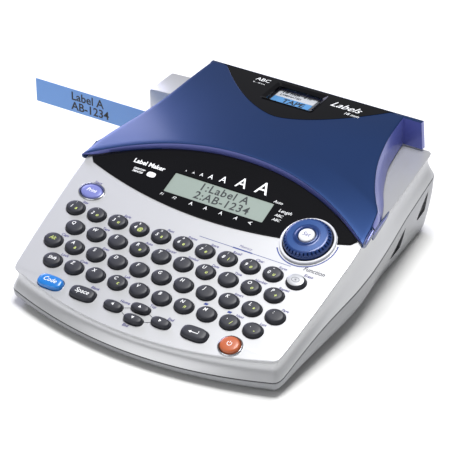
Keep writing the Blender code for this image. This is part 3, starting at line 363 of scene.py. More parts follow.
def flatten(obj, normals):
    """Shade the faces that lie in one of these planes flat, so that holes in them leave no streaks."""
    for face in obj.data.polygons:
        if any(face.normal.dot(normal) > FLAT_FACE for normal in normals):
            face.use_smooth = False


def loft(rings, bm=None, caps=True, close=False):
    bm = bm or bmesh.new()
    loops = [[bm.verts.new(p) for p in ring] for ring in rings]
    count = len(loops[0])
    pairs = list(zip(loops, loops[1:]))
    if close:
        pairs.append((loops[-1], loops[0]))
    for low, high in pairs:
        for i in range(count):
            j = (i + 1) % count
            bm.faces.new((low[i], low[j], high[j], high[i]))
    if caps and not close:
        bm.faces.new(list(reversed(loops[0])))
        bm.faces.new(loops[-1])
    return bm


def layers(outline, heights):
    """The same (x, y) outline at each of some heights."""
    return [[(x, y, z) for x, y in outline] for z in heights]


def plate_layers(outline, heights, x=0.0, s=0.0):
    """The same outline round (x, s) on the plate, at each of some heights over it."""
    return [[plate_point(x + px, s + py, h) for px, py in outline] for h in heights]


def grown_layers(x, s, rx, ry, power, count, profile):
    """A key's outline on the plate, grown by each (grow, height) of the profile."""
    rings = []
    for grow, h in profile:
        rings += plate_layers(ellipse(rx + grow, ry + grow, count, power), [h], x, s)
    return rings


def box(x0, x1, y0, y1, z0, z1, bm=None):
    return loft(layers(((x0, y0), (x1, y0), (x1, y1), (x0, y1)), (z0, z1)), bm)


def turned(profile, count, bm=None, centre=(0.0, 0.0)):
    """Closed ring turned about Z through (radius, z) points."""
    rings = []
    for r, z in profile:
        rings.append([(centre[0] + x, centre[1] + y, z) for x, y in ellipse(r, r, count)])
    return loft(rings, bm, close=True)


def dome(profile, outline_size, power, count, place, bm=None):
    """Solid of shrinking outlines: profile holds (scale, height); place maps local x, y, h to a point."""
    rx, ry = outline_size
    rings = []
    for scale, h in profile:
        rings.append([place(px, py, h) for px, py in ellipse(rx * scale, ry * scale, count, power)])
    return loft(rings, bm)


def combine(obj, bm, operation):
    """Boolean with a temporary body made from bm in millimetres, applied at once."""
    bmesh.ops.recalc_face_normals(bm, faces=bm.faces)
    if bm.calc_volume(signed=True) < 0:
        bmesh.ops.reverse_faces(bm, faces=bm.faces)
    bmesh.ops.scale(bm, vec=(MM, MM, MM), verts=bm.verts)
    mesh = bpy.data.meshes.new("cutter")
    bm.to_mesh(mesh)
    bm.free()
    cutter = link("cutter", mesh)
    mod = obj.modifiers.new("cut", "BOOLEAN")
    mod.operation = operation
    mod.solver = "EXACT"
    mod.object = cutter
    apply_modifiers(obj)
    bpy.data.objects.remove(cutter, do_unlink=True)


def evaluated_mesh(obj):
    """New mesh of an object with its modifiers or its lettering worked out."""
    graph = bpy.context.evaluated_depsgraph_get()
    graph.update()
    return bpy.data.meshes.new_from_object(obj.evaluated_get(graph))


def apply_modifiers(obj):
    mesh = evaluated_mesh(obj)
    obj.modifiers.clear()
    obj.data = mesh


def lettering(bm, text, size, matrix, slant=0.0, align="CENTER", weight=0.0, wide=1.0):
    """Add flat lettering to bm; matrix places its baseline, in metres, and size is its height in millimetres."""
    curve = bpy.data.curves.new("words", "FONT")
    curve.body = text
    curve.size = size * MM * 1.35
    curve.align_x = align
    curve.align_y = "CENTER"
    curve.shear = slant
    curve.offset = weight * MM
    curve.space_character = wide
    curve.resolution_u = 3
    obj = link("words", curve)
    mesh = evaluated_mesh(obj)
    mesh.transform(matrix)
    mesh.transform(Matrix.Scale(1 / MM, 4))
    bm.from_mesh(mesh)
    bpy.data.objects.remove(obj, do_unlink=True)
    bpy.data.meshes.remove(mesh)
    bpy.data.curves.remove(curve)


def flat_shape(bm, points, place):
    """Add one flat polygon of (x, y) points, each put in place by a function."""
    bm.faces.new([bm.verts.new(place(x, y)) for x, y in points])


def stroke(bm, points, width, place):
    """Add a flat ribbon of a width along a line of (x, y) points."""
    left, right = [], []
    for i, (x, y) in enumerate(points):
        x0, y0 = points[max(i - 1, 0)]
        x1, y1 = points[min(i + 1, len(points) - 1)]
        length = math.hypot(x1 - x0, y1 - y0)
        nx, ny = -(y1 - y0) / length, (x1 - x0) / length
        left.append(bm.verts.new(place(x + nx * width / 2, y + ny * width / 2)))
        right.append(bm.verts.new(place(x - nx * width / 2, y - ny * width / 2)))
    for i in range(len(points) - 1):
        bm.faces.new((left[i], right[i], right[i + 1], left[i + 1]))


# ---- Case ---------------------------------------------------------------------------------------------

CORNER_R = 4.0
FINE = (26, 44, 8)           # steps along the front, side and rear of an outer skin
COARSE = (8, 16, 4)          # and of a hidden hollow


def half_outline(front_steps, side_steps, rear_steps):
    """Right half of the plan outline, from the front middle to the rear middle."""
    points = []
    straight = CORNER_X - CORNER_R
    for i in range(front_steps):
        x = straight * i / front_steps
        points.append((x, BODY_FRONT + (CORNER_Y - BODY_FRONT) * (x / CORNER_X) ** 2))
    base_y = BODY_FRONT + (CORNER_Y - BODY_FRONT) * (straight / CORNER_X) ** 2
    for a in range(0, 81, 16):
        angle = math.radians(a + 6)
        points.append((straight + CORNER_R * math.sin(angle), base_y + CORNER_R * (1 - math.cos(angle))))
    for i in range(side_steps + 1):
        y = lerp(CORNER_Y + 4.0, BODY_REAR - 5.0, i / side_steps)
        points.append((curve_at(EDGE_X, y), y))
    if rear_steps > COARSE[2]:
        points.append((89.6, BODY_REAR - 1.6))
    for i in range(rear_steps):
        x = lerp(87.6, 0.0, i / (rear_steps - 1))
        points.append((x, BODY_REAR + 0.8 * (1 - (x / 88.0) ** 2)))
    return points


def offset_point(points, i, amount):
    x, y = points[i]
    before = points[i - 1] if i > 0 else (-points[1][0], points[1][1])
    after = points[i + 1] if i + 1 < len(points) else (-points[-2][0], points[-2][1])
    tangent = Vector((after[0] - before[0], after[1] - before[1])).normalized()
    return (x + tangent.y * amount, y - tangent.x * amount)


def case_body(levels, steps=FINE):
    """Closed body whose side runs through levels of (outset(y), z(y)), with striped top and bottom."""
    half = half_outline(*steps)
    last = len(half) - 1
    bm = bmesh.new()
    rings = []
    for outset, height in levels:
        right, left = [], []
        for i, (x, y) in enumerate(half):
            px, py = offset_point(half, i, outset(y))
            if i in (0, last):
                px = 0.0
            right.append(bm.verts.new((px, py, height(y))))
            left.append(right[-1] if i in (0, last) else bm.verts.new((-px, py, height(y))))
        rings.append((right, left))
    for (r0, l0), (r1, l1) in zip(rings, rings[1:]):
        for i in range(last):
            bm.faces.new((r0[i], r0[i + 1], r1[i + 1], r1[i]))
            bm.faces.new((l0[i + 1], l0[i], l1[i], l1[i + 1]))
    for right, left in (rings[0], rings[-1]):
        for i in range(last):
            corners = [right[i], right[i + 1], left[i + 1], left[i]]
            bm.faces.new([v for k, v in enumerate(corners) if v not in corners[:k]])
    return bm


COVE_DEPTH = 2.3
COVE_LEVELS = 10


def cove_level(t):
    """Level of the concave flank, t from 0 at the seam to 1 under the plate's bead."""
    def outset(y):
        sweep = curve_at(SEAM_OUT, y) * (1 - t) ** 1.6
        return sweep - COVE_DEPTH * math.sin(math.pi * t ** 1.4) * 0.9 - 0.15 * t

    def height(y):
        return lerp(seam_z(y), edge_z(y) - 0.9, t)
    return outset, height


def upper_levels():
    levels = [(lambda y: curve_at(SEAM_OUT, y) - 0.35, seam_z)]
    levels += [cove_level(0.02 + 0.98 * i / COVE_LEVELS) for i in range(COVE_LEVELS + 1)]
    levels += [(lambda y: 0.12, lambda y: edge_z(y) - 0.75), (lambda y: 0.15, lambda y: edge_z(y) - 0.4),
               (lambda y: -0.02, lambda y: edge_z(y) - 0.1), (lambda y: -0.4, edge_z)]
    return levels


def inner_levels():
    wall = 3.4
    return [(lambda y: curve_at(SEAM_OUT, y) - wall, lambda y: seam_z(y) - 6.0),
            (lambda y: -COVE_DEPTH - 1.2, lambda y: lerp(seam_z(y), edge_z(y), 0.5) - 2.4),
            (lambda y: -wall, lambda y: edge_z(y) - 2.4)]


def key_places():
    """(legend, x, s) of the letter and number keys."""
    for row, legends in enumerate(KEY_ROWS):
        for index, legend in enumerate(legends):
            yield legend, FIRST_KEY_X + row * ROW_STAGGER + index * KEY_PITCH, NUMBER_ROW_S - row * ROW_PITCH


def make_upper_case():
    upper = piece("upper_shell", case_body(upper_levels()), "silver", None)
    combine(upper, case_body(inner_levels(), COARSE), "DIFFERENCE")
    holes = bmesh.new()
    openings = [(x, s, *KEY_SIZE, 2.0) for _, x, s in key_places()]
    for name, (x, s, rx, ry, power, *_) in FUNCTION_KEYS.items():
        rim = 0.9 if name in ("print_key", "power_key") else 0.0
        openings.append((x, s, rx + rim, ry + rim, power))
    gap = 0.45
    chamfer = 0.3
    profile = ((gap, -6.0), (gap, -0.35), (gap + chamfer, 0.02), (gap + chamfer, 3.0))
    for opening in openings:
        loft(grown_layers(*opening, 32, profile), holes)
    loft(plate_layers(ellipse(DIAL_HOLE_R, DIAL_HOLE_R, 40), (-8, 8), *DIAL), holes)
    x0, x1, s0, s1 = LCD_BOX
    corners = rounded_rect(x0 - 2.5, x1 + 2.5, s0 - 2.0, s1 + 1.0, 1.0, 2)
    loft(plate_layers(corners, (-14.0, 6.0)), holes)
    combine(upper, holes, "DIFFERENCE")
    bay = [(-86.3, 28.0), (35.3, 28.0), (35.3, 106.8), (-51.3, 106.8), (-51.3, 67.8), (-86.3, 67.8)]
    combine(upper, loft(layers(bay, BAY_CUT_Z)), "DIFFERENCE")
    combine(upper, box(-120.0, -81.5, *TAPE_SLOT_Y, *BAY_CUT_Z), "DIFFERENCE")
    posts = bmesh.new()
    for side in (-1, 1):
        x0, x1 = sorted((side * 55.0, side * 58.5))
        box(x0, x1, 111.4, 114.6, DECK_Z - 1.0, 67.8, posts)
    combine(upper, posts, "UNION")
    smooth(upper, 32)
    flatten(upper, (PLATE_NORMAL, UP))
    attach(upper, "base")
    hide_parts("upper_case")

    piece("seam_gasket", seam_strip(), "recess")


def seam_strip():
    """Dark line between the two cases: a thin band just inside their outer skins."""
    half = half_outline(*FINE)
    outline = [offset_point(half, i, curve_at(SEAM_OUT, y) - 0.2) + (y,) for i, (_, y) in enumerate(half)]
    outline += [(-x, y, at) for x, y, at in reversed(outline[1:-1])]
    rings = []
    for inset, dz in ((0.0, -0.75), (0.0, 0.2), (1.6, 0.2), (1.6, -0.75)):
        ring = []
        for x, y, at in outline:
            reach = math.hypot(x, y)
            k = (reach - inset) / reach
            ring.append((x * k, y * k, seam_z(at) + dz))
        rings.append(ring)
    return loft(rings, close=True)


def make_lower_case():
    top = -0.45

    def belly(t):
        return (lambda y: lerp(curve_at(BELLY_OUT, y), curve_at(SEAM_OUT, y), 1 - (1 - t) ** 1.8),
                lambda y: lerp(curve_at(BELLY_Z, y), seam_z(y) + top - 0.3, t))

    levels = [(lambda y: curve_at(SOLE_OUT, y), lambda y: BOTTOM_Z),
              (lambda y: lerp(curve_at(SOLE_OUT, y), curve_at(BELLY_OUT, y), 0.75),
               lambda y: lerp(BOTTOM_Z, curve_at(BELLY_Z, y), 0.45))]
    levels += [belly(t) for t in (0.0, 0.12, 0.28, 0.45, 0.62, 0.8, 1.0)]
    levels += [(lambda y: curve_at(SEAM_OUT, y) - 0.35, lambda y: seam_z(y) + top)]
    hollow = [(lambda y: curve_at(SOLE_OUT, y) - 1.5, lambda y: BOTTOM_Z + 2.0),
              (lambda y: curve_at(BELLY_OUT, y) - 2.4, lambda y: curve_at(BELLY_Z, y) + 1.8),
              (lambda y: curve_at(SEAM_OUT, y) - 2.4, lambda y: seam_z(y) + 6.0)]
    lower = piece("lower_shell", case_body(levels), "shell", None)
    combine(lower, case_body(hollow, COARSE), "DIFFERENCE")
    low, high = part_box("battery_cover")
    x0, y0, x1, y1 = low.x / MM - 0.4, low.y / MM - 0.4, high.x / MM + 0.4, high.y / MM + 10.4
    rings = []
    for inset, z in ((0.0, 0.2), (0.0, 2.7), (4.4, 2.7), (4.4, 5.2)):
        rings.append([(x0 + inset, y0 + inset, z), (x1 - inset, y0 + inset, z),
                      (x1 - inset, y1 - inset - 10.0 * (inset > 0), z),
                      (x0 + inset, y1 - inset - 10.0 * (inset > 0), z)])
    cuts = loft(rings)
    for fin in PORT_FINS:
        loft([[(x, *point) for point in fin_outline(*fin, grow)] for x, grow in ((84.0, 0.86), (112.0, 1.0))],
             cuts)
    combine(lower, cuts, "DIFFERENCE")
    smooth(lower, 32)
    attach(lower, "base")
    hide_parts("lower_case")
    # Dark trays at the back of the fin-shaped recesses are painted shade, with a window cut for each socket.
    for number, fin in enumerate(PORT_FINS):
        shade = loft([[(x, *point) for point in fin_outline(*fin, 0.9)] for x in (91.3, 92.0)])
        tray = piece(f"port_dark_and_painted_shade_{number}", shade, "recess")
        combine(tray, port_window(number), "DIFFERENCE")
        smooth(tray, 30)
        paint(tray, "recess")


# y and z of the socket's middle, length and height of the fin-shaped recess round it
PORT_FINS = ((52.0, 26.0, 22.0, 17.0), (95.0, 31.0, 19.0, 17.0))


def fin_outline(y, z, length, height, grow):
    """Fin-shaped recess: a straight upright edge behind, swept down to a point in front."""
    shape = [(-0.52, -0.40), (-0.30, -0.52), (0.38, -0.50), (0.40, 0.10), (0.44, 0.50), (0.16, 0.36),
             (-0.16, 0.10), (-0.42, -0.18)]
    return [(y + a * length * grow, z + b * height * grow) for a, b in shape]


def port_window(number):
    y, z = PORT_FINS[number][:2]
    return box(90.0, 93.0, y - 3.6, y + 4.0, z - 3.8, z + 3.4)


# ---- Lid ----------------------------------------------------------------------------------------------

def lid_surface(u, v, inset=0.0):
    rear = BODY_REAR - inset
    side_y = lerp(LID_TIP_Y + 1.5 * inset, rear, v)
    right = curve_at(LID_RIGHT_TOP, side_y) - inset
    left = curve_at(LID_LEFT_TOP, side_y) + inset
    x = lerp(left, right, (u + 1) / 2)
    front_x = LID_TIP_X * u
    front = lid_front_y(front_x) + inset
    front_z = plate_z(lid_front_y(front_x)) + LID_EDGE_H - 1.5 * abs(u) ** 3
    z = lerp(front_z, LID_REAR_Z, v) + LID_BULGE * v * (1 - v) * (0.4 + 0.6 * u * u)
    return Vector((x, lerp(front, rear, v), z - inset))


def lid_foot(point, side, v, inset, floor_drop):
    x, y = point.x, point.y
    z = max(plate_z(y) + 1.4, DECK_Z + 1.3) if y < LID_FRONT_MID_Y + 5 else DECK_Z + 1.3
    if side:
        side_y = lerp(LID_TIP_Y + 1.5 * inset, BODY_REAR - inset, v)
        x = curve_at(LID_RIGHT_FOOT if side > 0 else LID_LEFT_FOOT, side_y) - side * inset
        z = DECK_Z + 1.3 if side_y > 4 else max(plate_z(side_y) + 1.4, DECK_Z + 1.3)
    return Vector((x, y, z - floor_drop))


def lid_body(inset, floor_drop, nu, nv, edge=0.0):
    """Lid solid; edge rounds its upper rim over that many millimetres."""
    bm = bmesh.new()
    points = [[lid_surface(-1 + 2 * i / nu, j / nv, inset) for i in range(nu + 1)] for j in range(nv + 1)]
    rim = [(0, i) for i in range(nu + 1)] + [(j, nu) for j in range(1, nv + 1)]
    rim += [(nv, i) for i in range(nu - 1, -1, -1)] + [(j, 0) for j in range(nv - 1, 0, -1)]
    feet = {}
    for j, i in rim:
        side = 1 if i == nu else -1 if i == 0 else 0
        feet[j, i] = lid_foot(points[j][i], side, j / nv, inset, floor_drop)
    outer = {}
    if edge:
        middle = Vector((-8.0, 60.0, 0.0))
        for j, i in rim:
            p = points[j][i].copy()
            outer[j, i] = p
            towards = Vector((middle.x - p.x if i in (0, nu) else 0.0, middle.y - p.y if j in (0, nv) else 0.0, 0))
            points[j][i] = p + towards.normalized() * edge
    top = [[bm.verts.new(p) for p in row] for row in points]
    for j in range(nv):
        for i in range(nu):
            bm.faces.new((top[j][i], top[j][i + 1], top[j + 1][i + 1], top[j + 1][i]))
    chains = {}
    for j, i in rim:
        chain = [top[j][i]]
        if edge:
            down = (feet[j, i] - outer[j, i]).normalized()
            near = outer[j, i].lerp(points[j][i], 0.3)
            chain.append(bm.verts.new(near + down * edge * 0.3))
            chain.append(bm.verts.new(outer[j, i] + down * edge))
        chain.append(bm.verts.new(feet[j, i]))
        chains[j, i] = chain
    for k, at in enumerate(rim):
        a, b = chains[at], chains[rim[(k + 1) % len(rim)]]
        for n in range(len(a) - 1):
            bm.faces.new((a[n], a[n + 1], b[n + 1], b[n]))
    foot = [[None] * (nu + 1) for _ in range(nv + 1)]
    for (j, i), chain in chains.items():
        foot[j][i] = chain[-1]
    for j in range(1, nv):
        for i in range(1, nu):
            z = lerp(foot[j][0].co.z, foot[j][nu].co.z, 0.5)
            foot[j][i] = bm.verts.new((points[j][i].x, points[j][i].y, z))
    for j in range(nv):
        for i in range(nu):
            bm.faces.new((foot[j][i], foot[j + 1][i], foot[j + 1][i + 1], foot[j][i + 1]))
    return bm


LENS_MIDDLE_X = -6.0
LENS_COLUMNS = 56
LENS_ROWS = 8
LABEL_WINDOW = (-27.0, 13.0, 86.0, 111.0)
WINDOW_CUT_Z = (70.0, 95.0)
LABEL_PAD_Z = 78.4
LABEL_BOX = (-24.0, 5.5, 93.6, 110.2)


def lens_front_y(x):
    """Front edge of the black lens at the back of the lid."""
    return 70.0 + 48.0 * (abs(x - LENS_MIDDLE_X) / 68.0) ** 1.65


def lid_height(x, y):
    """Height of the lid's top at a place, by walking its surface."""
    v = max(min((y - LID_FRONT_MID_Y) / (BODY_REAR - LID_FRONT_MID_Y), 1.0), 0.0)
    for _ in range(6):
        side_y = lerp(LID_TIP_Y, BODY_REAR, v)
        left, right = curve_at(LID_LEFT_TOP, side_y), curve_at(LID_RIGHT_TOP, side_y)
        u = 2 * (x - left) / (right - left) - 1
        front = lid_front_y(LID_TIP_X * u)
        v = (y - front) / (BODY_REAR - front)
    return lid_surface(u, v).z


def make_lid():
    lid = piece("lid_shell", lid_body(0.0, 0.0, 72, 40, 0.55), "blue", None)
    combine(lid, lid_body(2.2, 6.0, 24, 16), "DIFFERENCE")
    rear = BODY_REAR
    outline = [(-84.6, DECK_Z + 1.6), (84.0, DECK_Z + 1.6), (82.2, LID_REAR_Z - 0.2), (-82.6, LID_REAR_Z - 0.2)]
    combine(lid, loft([[(x, y, z) for x, z in outline] for y in (rear - 3.1, rear + 0.4)]), "UNION")
    hinge_y, hinge_z = JOINTS["lid_hinge"]["pos_m"][1] / MM, JOINTS["lid_hinge"]["pos_m"][2] / MM
    cuts = box(-130.0, -80.0, *TAPE_SLOT_Y, 50.0, 71.4)
    box(*LABEL_WINDOW, *WINDOW_CUT_Z, cuts)
    bosses = bmesh.new()
    for side in (-1, 1):
        a, b = sorted((side * 54.5, side * 58.9))
        box(a, b, hinge_y - 6.0, hinge_y + 6.0, 60.0, hinge_z + 3.6, cuts)
        rings = []
        for x in (side * 59.0, side * 69.0):
            rings.append([(x, hinge_y + py, hinge_z + pz) for py, pz in ellipse(2.15, 2.15, 24)])
        loft(rings, bosses)
    combine(lid, bosses, "UNION")
    combine(lid, cuts, "DIFFERENCE")
    paint(lid, "blue", "blue_edge_highlight", "blue_inside")
    # Outer top faces take the blue, side and rim faces take the lighter blue as painted highlight, and faces
    # looking down take the inside blue.
    for face in lid.data.polygons:
        c = face.center / MM
        outer_top = c.z > lid_height(c.x, c.y) - 1.0
        face.material_index = 0 if outer_top and face.normal.z > 0.35 else 1 if face.normal.z > -0.3 else 2
    smooth(lid, 38)
    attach(lid, "lid")
    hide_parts("lid")
    make_lid_lens()
    make_lid_skirts()


def make_lid_lens():
    """Black gloss lens let into the lid's rear, with an opening over the cassette's label."""
    bm = bmesh.new()
    half = 66.5
    rise = 0.22
    columns = []
    for i in range(LENS_COLUMNS + 1):
        x = LENS_MIDDLE_X + half * (2 * i / LENS_COLUMNS - 1)
        y0 = min(lens_front_y(x), BODY_REAR - 0.9)
        rows = []
        for j in range(LENS_ROWS + 1):
            y = lerp(y0, BODY_REAR - 0.7, j / LENS_ROWS)
            rows.append((x, y, lid_height(x, y) + rise))
        columns.append(rows)
    top = [[bm.verts.new(p) for p in rows] for rows in columns]
    low = [[bm.verts.new((x, y, z - rise - 0.4)) for x, y, z in rows] for rows in columns]
    last = len(columns) - 1
    for i in range(last):
        for j in range(LENS_ROWS):
            bm.faces.new((top[i][j], top[i + 1][j], top[i + 1][j + 1], top[i][j + 1]))
            bm.faces.new((low[i][j], low[i][j + 1], low[i + 1][j + 1], low[i + 1][j]))
        bm.faces.new((top[i][0], low[i][0], low[i + 1][0], top[i + 1][0]))
        bm.faces.new((top[i][-1], top[i + 1][-1], low[i + 1][-1], low[i][-1]))
    for i in (0, last):
        for j in range(LENS_ROWS):
            bm.faces.new((top[i][j], top[i][j + 1], low[i][j + 1], low[i][j]))
    lens = piece("lid_lens", bm, "black", None)
    x0, x1, y0, y1 = LABEL_WINDOW
    combine(lens, loft(layers(rounded_rect(x0, x1, y0, y1, 2.0), WINDOW_CUT_Z)), "DIFFERENCE")
    smooth(lens, 40)
    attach(lens, "lid")

    words = bmesh.new()
    for text, size, x, y, slant in (("ABC", 4.2, -37.0, 107.6, 0.0), ("8 ... 18 mm", 1.5, -37.6, 102.6, 0.0),
                                    ("Labels", 6.6, 29.5, 103.4, 0.45), ("18 mm", 3.0, 37.5, 96.6, 0.25)):
        z = lid_height(x, y)
        slope = math.atan2(z - lid_height(x, y - 3.0), 3.0)
        lean = math.atan2(lid_height(x - 3.0, y) - z, 3.0)
        turn = Matrix.Rotation(slope, 4, "X") @ Matrix.Rotation(lean, 4, "Y")
        lettering(words, text, size, Matrix.Translation(Vector((x, y, z + 0.36)) * MM) @ turn, slant=slant)
    piece("lid_words", words, "ink_white", "lid", normals=False)

    rings = []
    for inset, z in ((0.0, 83.4), (0.15, 83.6), (2.6, 82.2), (2.8, 80.9), (0.0, 80.9)):
        rings += layers(rounded_rect(x0 + inset, x1 - inset, y0 + inset, y1 - inset, 2.0), [z])
    piece("label_window_bezel", loft(rings, close=True), "black", "lid", 30)
    glass = loft(layers(rounded_rect(-26.6, 12.6, 86.4, 110.6, 1.6), (79.7, 80.7)))
    window = piece("label_window", glass, "window", "lid", 30)
    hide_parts("lid_window")


def make_lid_skirts():
    """Blue side skirts that hook over the case's flank under the lid's front corners."""
    for name, side in (("lid_skirt_right", 1), ("lid_skirt_left", -1)):
        table = LID_RIGHT_FOOT if side > 0 else LID_LEFT_FOOT
        rings = []
        count = 26
        for i in range(count + 1):
            y = lerp(LID_TIP_Y, 31.0, i / count)
            taper = math.sin(math.pi * (i / count) ** 0.8) ** 0.7 if 0 < i < count else 0.0
            out = max(curve_at(table, y) * side, curve_at(EDGE_X, y) + 0.9)
            top_z = DECK_Z + 1.5 if y > 4 else max(plate_z(y) + 1.6, DECK_Z + 1.5)
            low = top_z - 2.2 - 4.2 * taper
            ring = [(out, top_z + 0.4), (out + 0.25, top_z - 0.6), (out + 0.2, lerp(top_z, low, 0.5)),
                    (out - 0.1, low), (out - 0.8, low + 0.1), (out - 0.75, top_z - 0.2)]
            rings.append([(x * side, y, z) for x, z in ring])
        ribs = bmesh.new()
        for at in (0.22, 0.5):
            strips = []
            for ring in rings[2:-3]:
                (xa, y, za), (xb, _, zb) = ring[1], ring[2]
                x, z = lerp(xa, xb, at), lerp(za, zb, at)
                strips.append([(x - side * 0.2, y, z - 0.35), (x + side * 0.32, y, z - 0.2),
                               (x + side * 0.32, y, z + 0.2), (x - side * 0.2, y, z + 0.35)])
            loft(strips, ribs)
        # The ribs take the lighter blue: painted highlight lines along the skirt.
        piece(f"{name}_ribs", ribs, "blue_edge_highlight", "lid", 35)
        piece(name, loft(rings), "blue", "lid", 35)


# ---- Display panel and display ------------------------------------------------------------------------

def make_panel():
    """Black lens between keyboard and lid, with a rounded front edge, and the display under it."""
    bm = bmesh.new()
    count = 72
    xs = [lerp(-LENS_HALF, LENS_HALF, i / count) for i in range(count + 1)]
    columns = []
    for x in xs:
        front, back = panel_front_y(x), lid_front_y(x) - 0.4
        if abs(x) > LENS_HALF - 0.1:
            front = back - 0.3
        columns.append((x, front, back))
    levels = ((0.0, 0.15), (0.0, 0.7), (0.12, 0.9), (0.5, 1.0))
    rows = []
    for inset, h in levels:
        rows.append([bm.verts.new((x, f + inset * (b - f > 2), plate_z(f + inset) + h)) for x, f, b in columns])
    back_top = [bm.verts.new((x, b, plate_z(b) + 1.0)) for x, _, b in columns]
    fold_y = CORNER_Y + (DECK_Z - PLATE_CORNER_Z) / math.tan(PLATE_TILT)
    back_low = [bm.verts.new((x, b, edge_z(b) + 0.35)) for x, _, b in columns]
    fold = []
    for x, f, b in columns:
        y = min(fold_y, lerp(f, b, 0.9))
        fold.append(bm.verts.new((x, y, edge_z(y) + 0.35)))
    strips = rows + [back_top, back_low, fold]
    for a, b in zip(strips, strips[1:] + strips[:1]):
        for i in range(count):
            bm.faces.new((a[i], a[i + 1], b[i + 1], b[i]))
    for i in (0, count):
        bm.faces.new([strip[i] for strip in strips])
    panel = piece("front_panel", bm, "black", None)
    x0, x1, s0, s1 = LCD_BOX
    cuts = bmesh.new()
    corners = rounded_rect(x0, x1, s0, s1, 0.8, 3)
    inner = rounded_rect(x0 + 0.5, x1 - 0.5, s0 + 0.5, s1 - 0.5, 0.6, 3)
    rings = []
    for ring, h in ((corners, 6.0), (corners, 0.95), (inner, 0.3), (inner, -30.0)):
        rings += plate_layers(ring, [h])
    loft(rings, cuts)
    combine(panel, cuts, "DIFFERENCE")
    seat_r = DIAL_RING_R + 0.4
    seat = loft(plate_layers(ellipse(seat_r, seat_r, 96), (-12.0, 8.0), *DIAL))
    combine(panel, seat, "DIFFERENCE")
    smooth(panel, 35)
    flatten(panel, (PLATE_NORMAL,))
    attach(panel, "base")
    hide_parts("display_panel")

    glass = rounded_rect(x0 - 1.2, x1 + 1.2, s0 - 0.9, s1 + 0.5, 0.8, 3)
    bm = loft(plate_layers(glass, (-4.4, -0.05, 0.1)))
    display = piece("display_glass", bm, "lcd")
    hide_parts("lcd_module")
    ink = bmesh.new()
    for line, text in enumerate(("1:Label A", "2:AB-1234")):
        matrix = on_plate(-18.0, 103.6 - line * 7.4, 0.16)
        lettering(ink, text, 6.4, matrix, align="LEFT", wide=1.12, weight=0.12)
    piece("display_characters", ink, "ink_lcd", normals=False)


def make_panel_marks():
    """Graded size marks above the display, small style marks below it and a few words beside it."""
    ink = bmesh.new()
    x = -33.0
    for size, step in ((1.3, 5.6), (1.9, 6.0), (2.7, 6.8), (3.8, 9.0), (5.4, 13.2), (8.6, 15.2), (10.4, 0.0)):
        lettering(ink, "A", size, on_plate(x, 110.6 + size * 0.52, PANEL_INK_H), weight=size * 0.004)
        x += step
    for text, at, height in (("Auto", 37.8, 2.4), ("Length", 46.0, 2.6)):
        s = 109.6 if text == "Auto" else 104.0
        lettering(ink, text, height, on_plate(at, s, PANEL_INK_H), slant=0.2)
    for line in range(2):
        lettering(ink, "ABC", 2.2, on_plate(43.5, 99.8 - 3.6 * line, PANEL_INK_H), slant=0.2)
    for number, at in enumerate((-38.0, -28.5)):
        lettering(ink, f"F{number + 1}", 2.1, on_plate(at, 88.2, PANEL_INK_H), slant=0.2)
    for number, at in enumerate((-15.5, -4.5, 7.0, 18.0, 29.0)):
        turn = Matrix.Rotation(math.radians(90 if number == 4 else 0), 4, "Z")
        lettering(ink, "A", 2.9, on_plate(at, 88.0, PANEL_INK_H) @ turn, slant=0.25 if number == 3 else 0.0)
    lettering(ink, "Label Maker", 3.6, on_plate(-59.0, 107.0, PANEL_INK_H), weight=0.12)
    for line, text in enumerate(("DESKTOP", "PRINTER")):
        lettering(ink, text, 1.5, on_plate(-63.5, 101.2 - 2.3 * line, PANEL_INK_H), slant=0.2, weight=0.05)
    badge = ellipse(3.2, 2.1, 24, 3.0)
    flat_shape(ink, badge, lambda a, b: plate_point(-53.4 + a, 100.0 + b, PANEL_INK_H))
    piece("panel_marks", ink, "ink_white", normals=False)


# ---- Keys ---------------------------------------------------------------------------------------------

KEY_PROFILE = ((1.04, -4.2), (1.02, 0.4), (0.995, 1.5), (0.965, 2.1), (0.90, 2.55), (0.80, 2.8), (0.62, 2.93),
               (0.40, 3.0), (0.18, 3.03))
FLAT_PROFILE = ((1.0, -3.8), (1.0, -0.2), (0.985, 0.4), (0.94, 0.85), (0.86, 1.08), (0.6, 1.2), (0.3, 1.24))
LEGEND_H = 3.06


def key_solid(x, s, size, power, profile, bm=None):
    return dome(profile, size, power, 36, lambda px, py, h: plate_point(x + px, s + py, h), bm)


def make_letter_keys():
    caps = bmesh.new()
    white, green = bmesh.new(), bmesh.new()
    second = dict(zip("1234567890", "!\"#$%&/()="))
    accents = dict(zip("1234567890RAUOPLNC,.", "aou@aeeioueauo+*nc/-"))
    for legend, x, s in key_places():
        key_solid(x, s, KEY_SIZE, 2.0, KEY_PROFILE, caps)
        digit = legend.isdigit()
        at = (-2.1, -0.7) if digit else (-1.5, 1.6)
        lettering(white, legend, 2.5, on_plate(x + at[0], s + at[1], LEGEND_H), slant=0.25, weight=0.04)
        if digit:
            lettering(white, second[legend], 1.6, on_plate(x - 0.4, s + 2.8, LEGEND_H - 0.06), slant=0.2)
        if legend in accents:
            lettering(green, accents[legend], 2.6, on_plate(x + 1.9, s - 1.3, LEGEND_H), slant=0.2, weight=0.06)
    keys = piece("letter_keys", caps, "key", angle=50)
    mat = rounded_rect(-92.0, 91.0, 6.5, 65.0, 3.0, 4)
    sheet = piece("keypad_sheet", loft(plate_layers(mat, (-5.2, -4.25))), "key")
    windows = bmesh.new()
    for name in ("shift_key", "alt_key", "clear_key"):
        x, s = FUNCTION_KEYS[name][:2]
        loft(plate_layers(ellipse(7.3, 6.0, 24), (-7.0, -3.0), x, s), windows)
    combine(sheet, windows, "DIFFERENCE")
    smooth(sheet, 30)
    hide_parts("keypad")
    piece("letter_legends", white, "ink_white", normals=False)
    piece("accent_legends", green, "ink_green", normals=False)


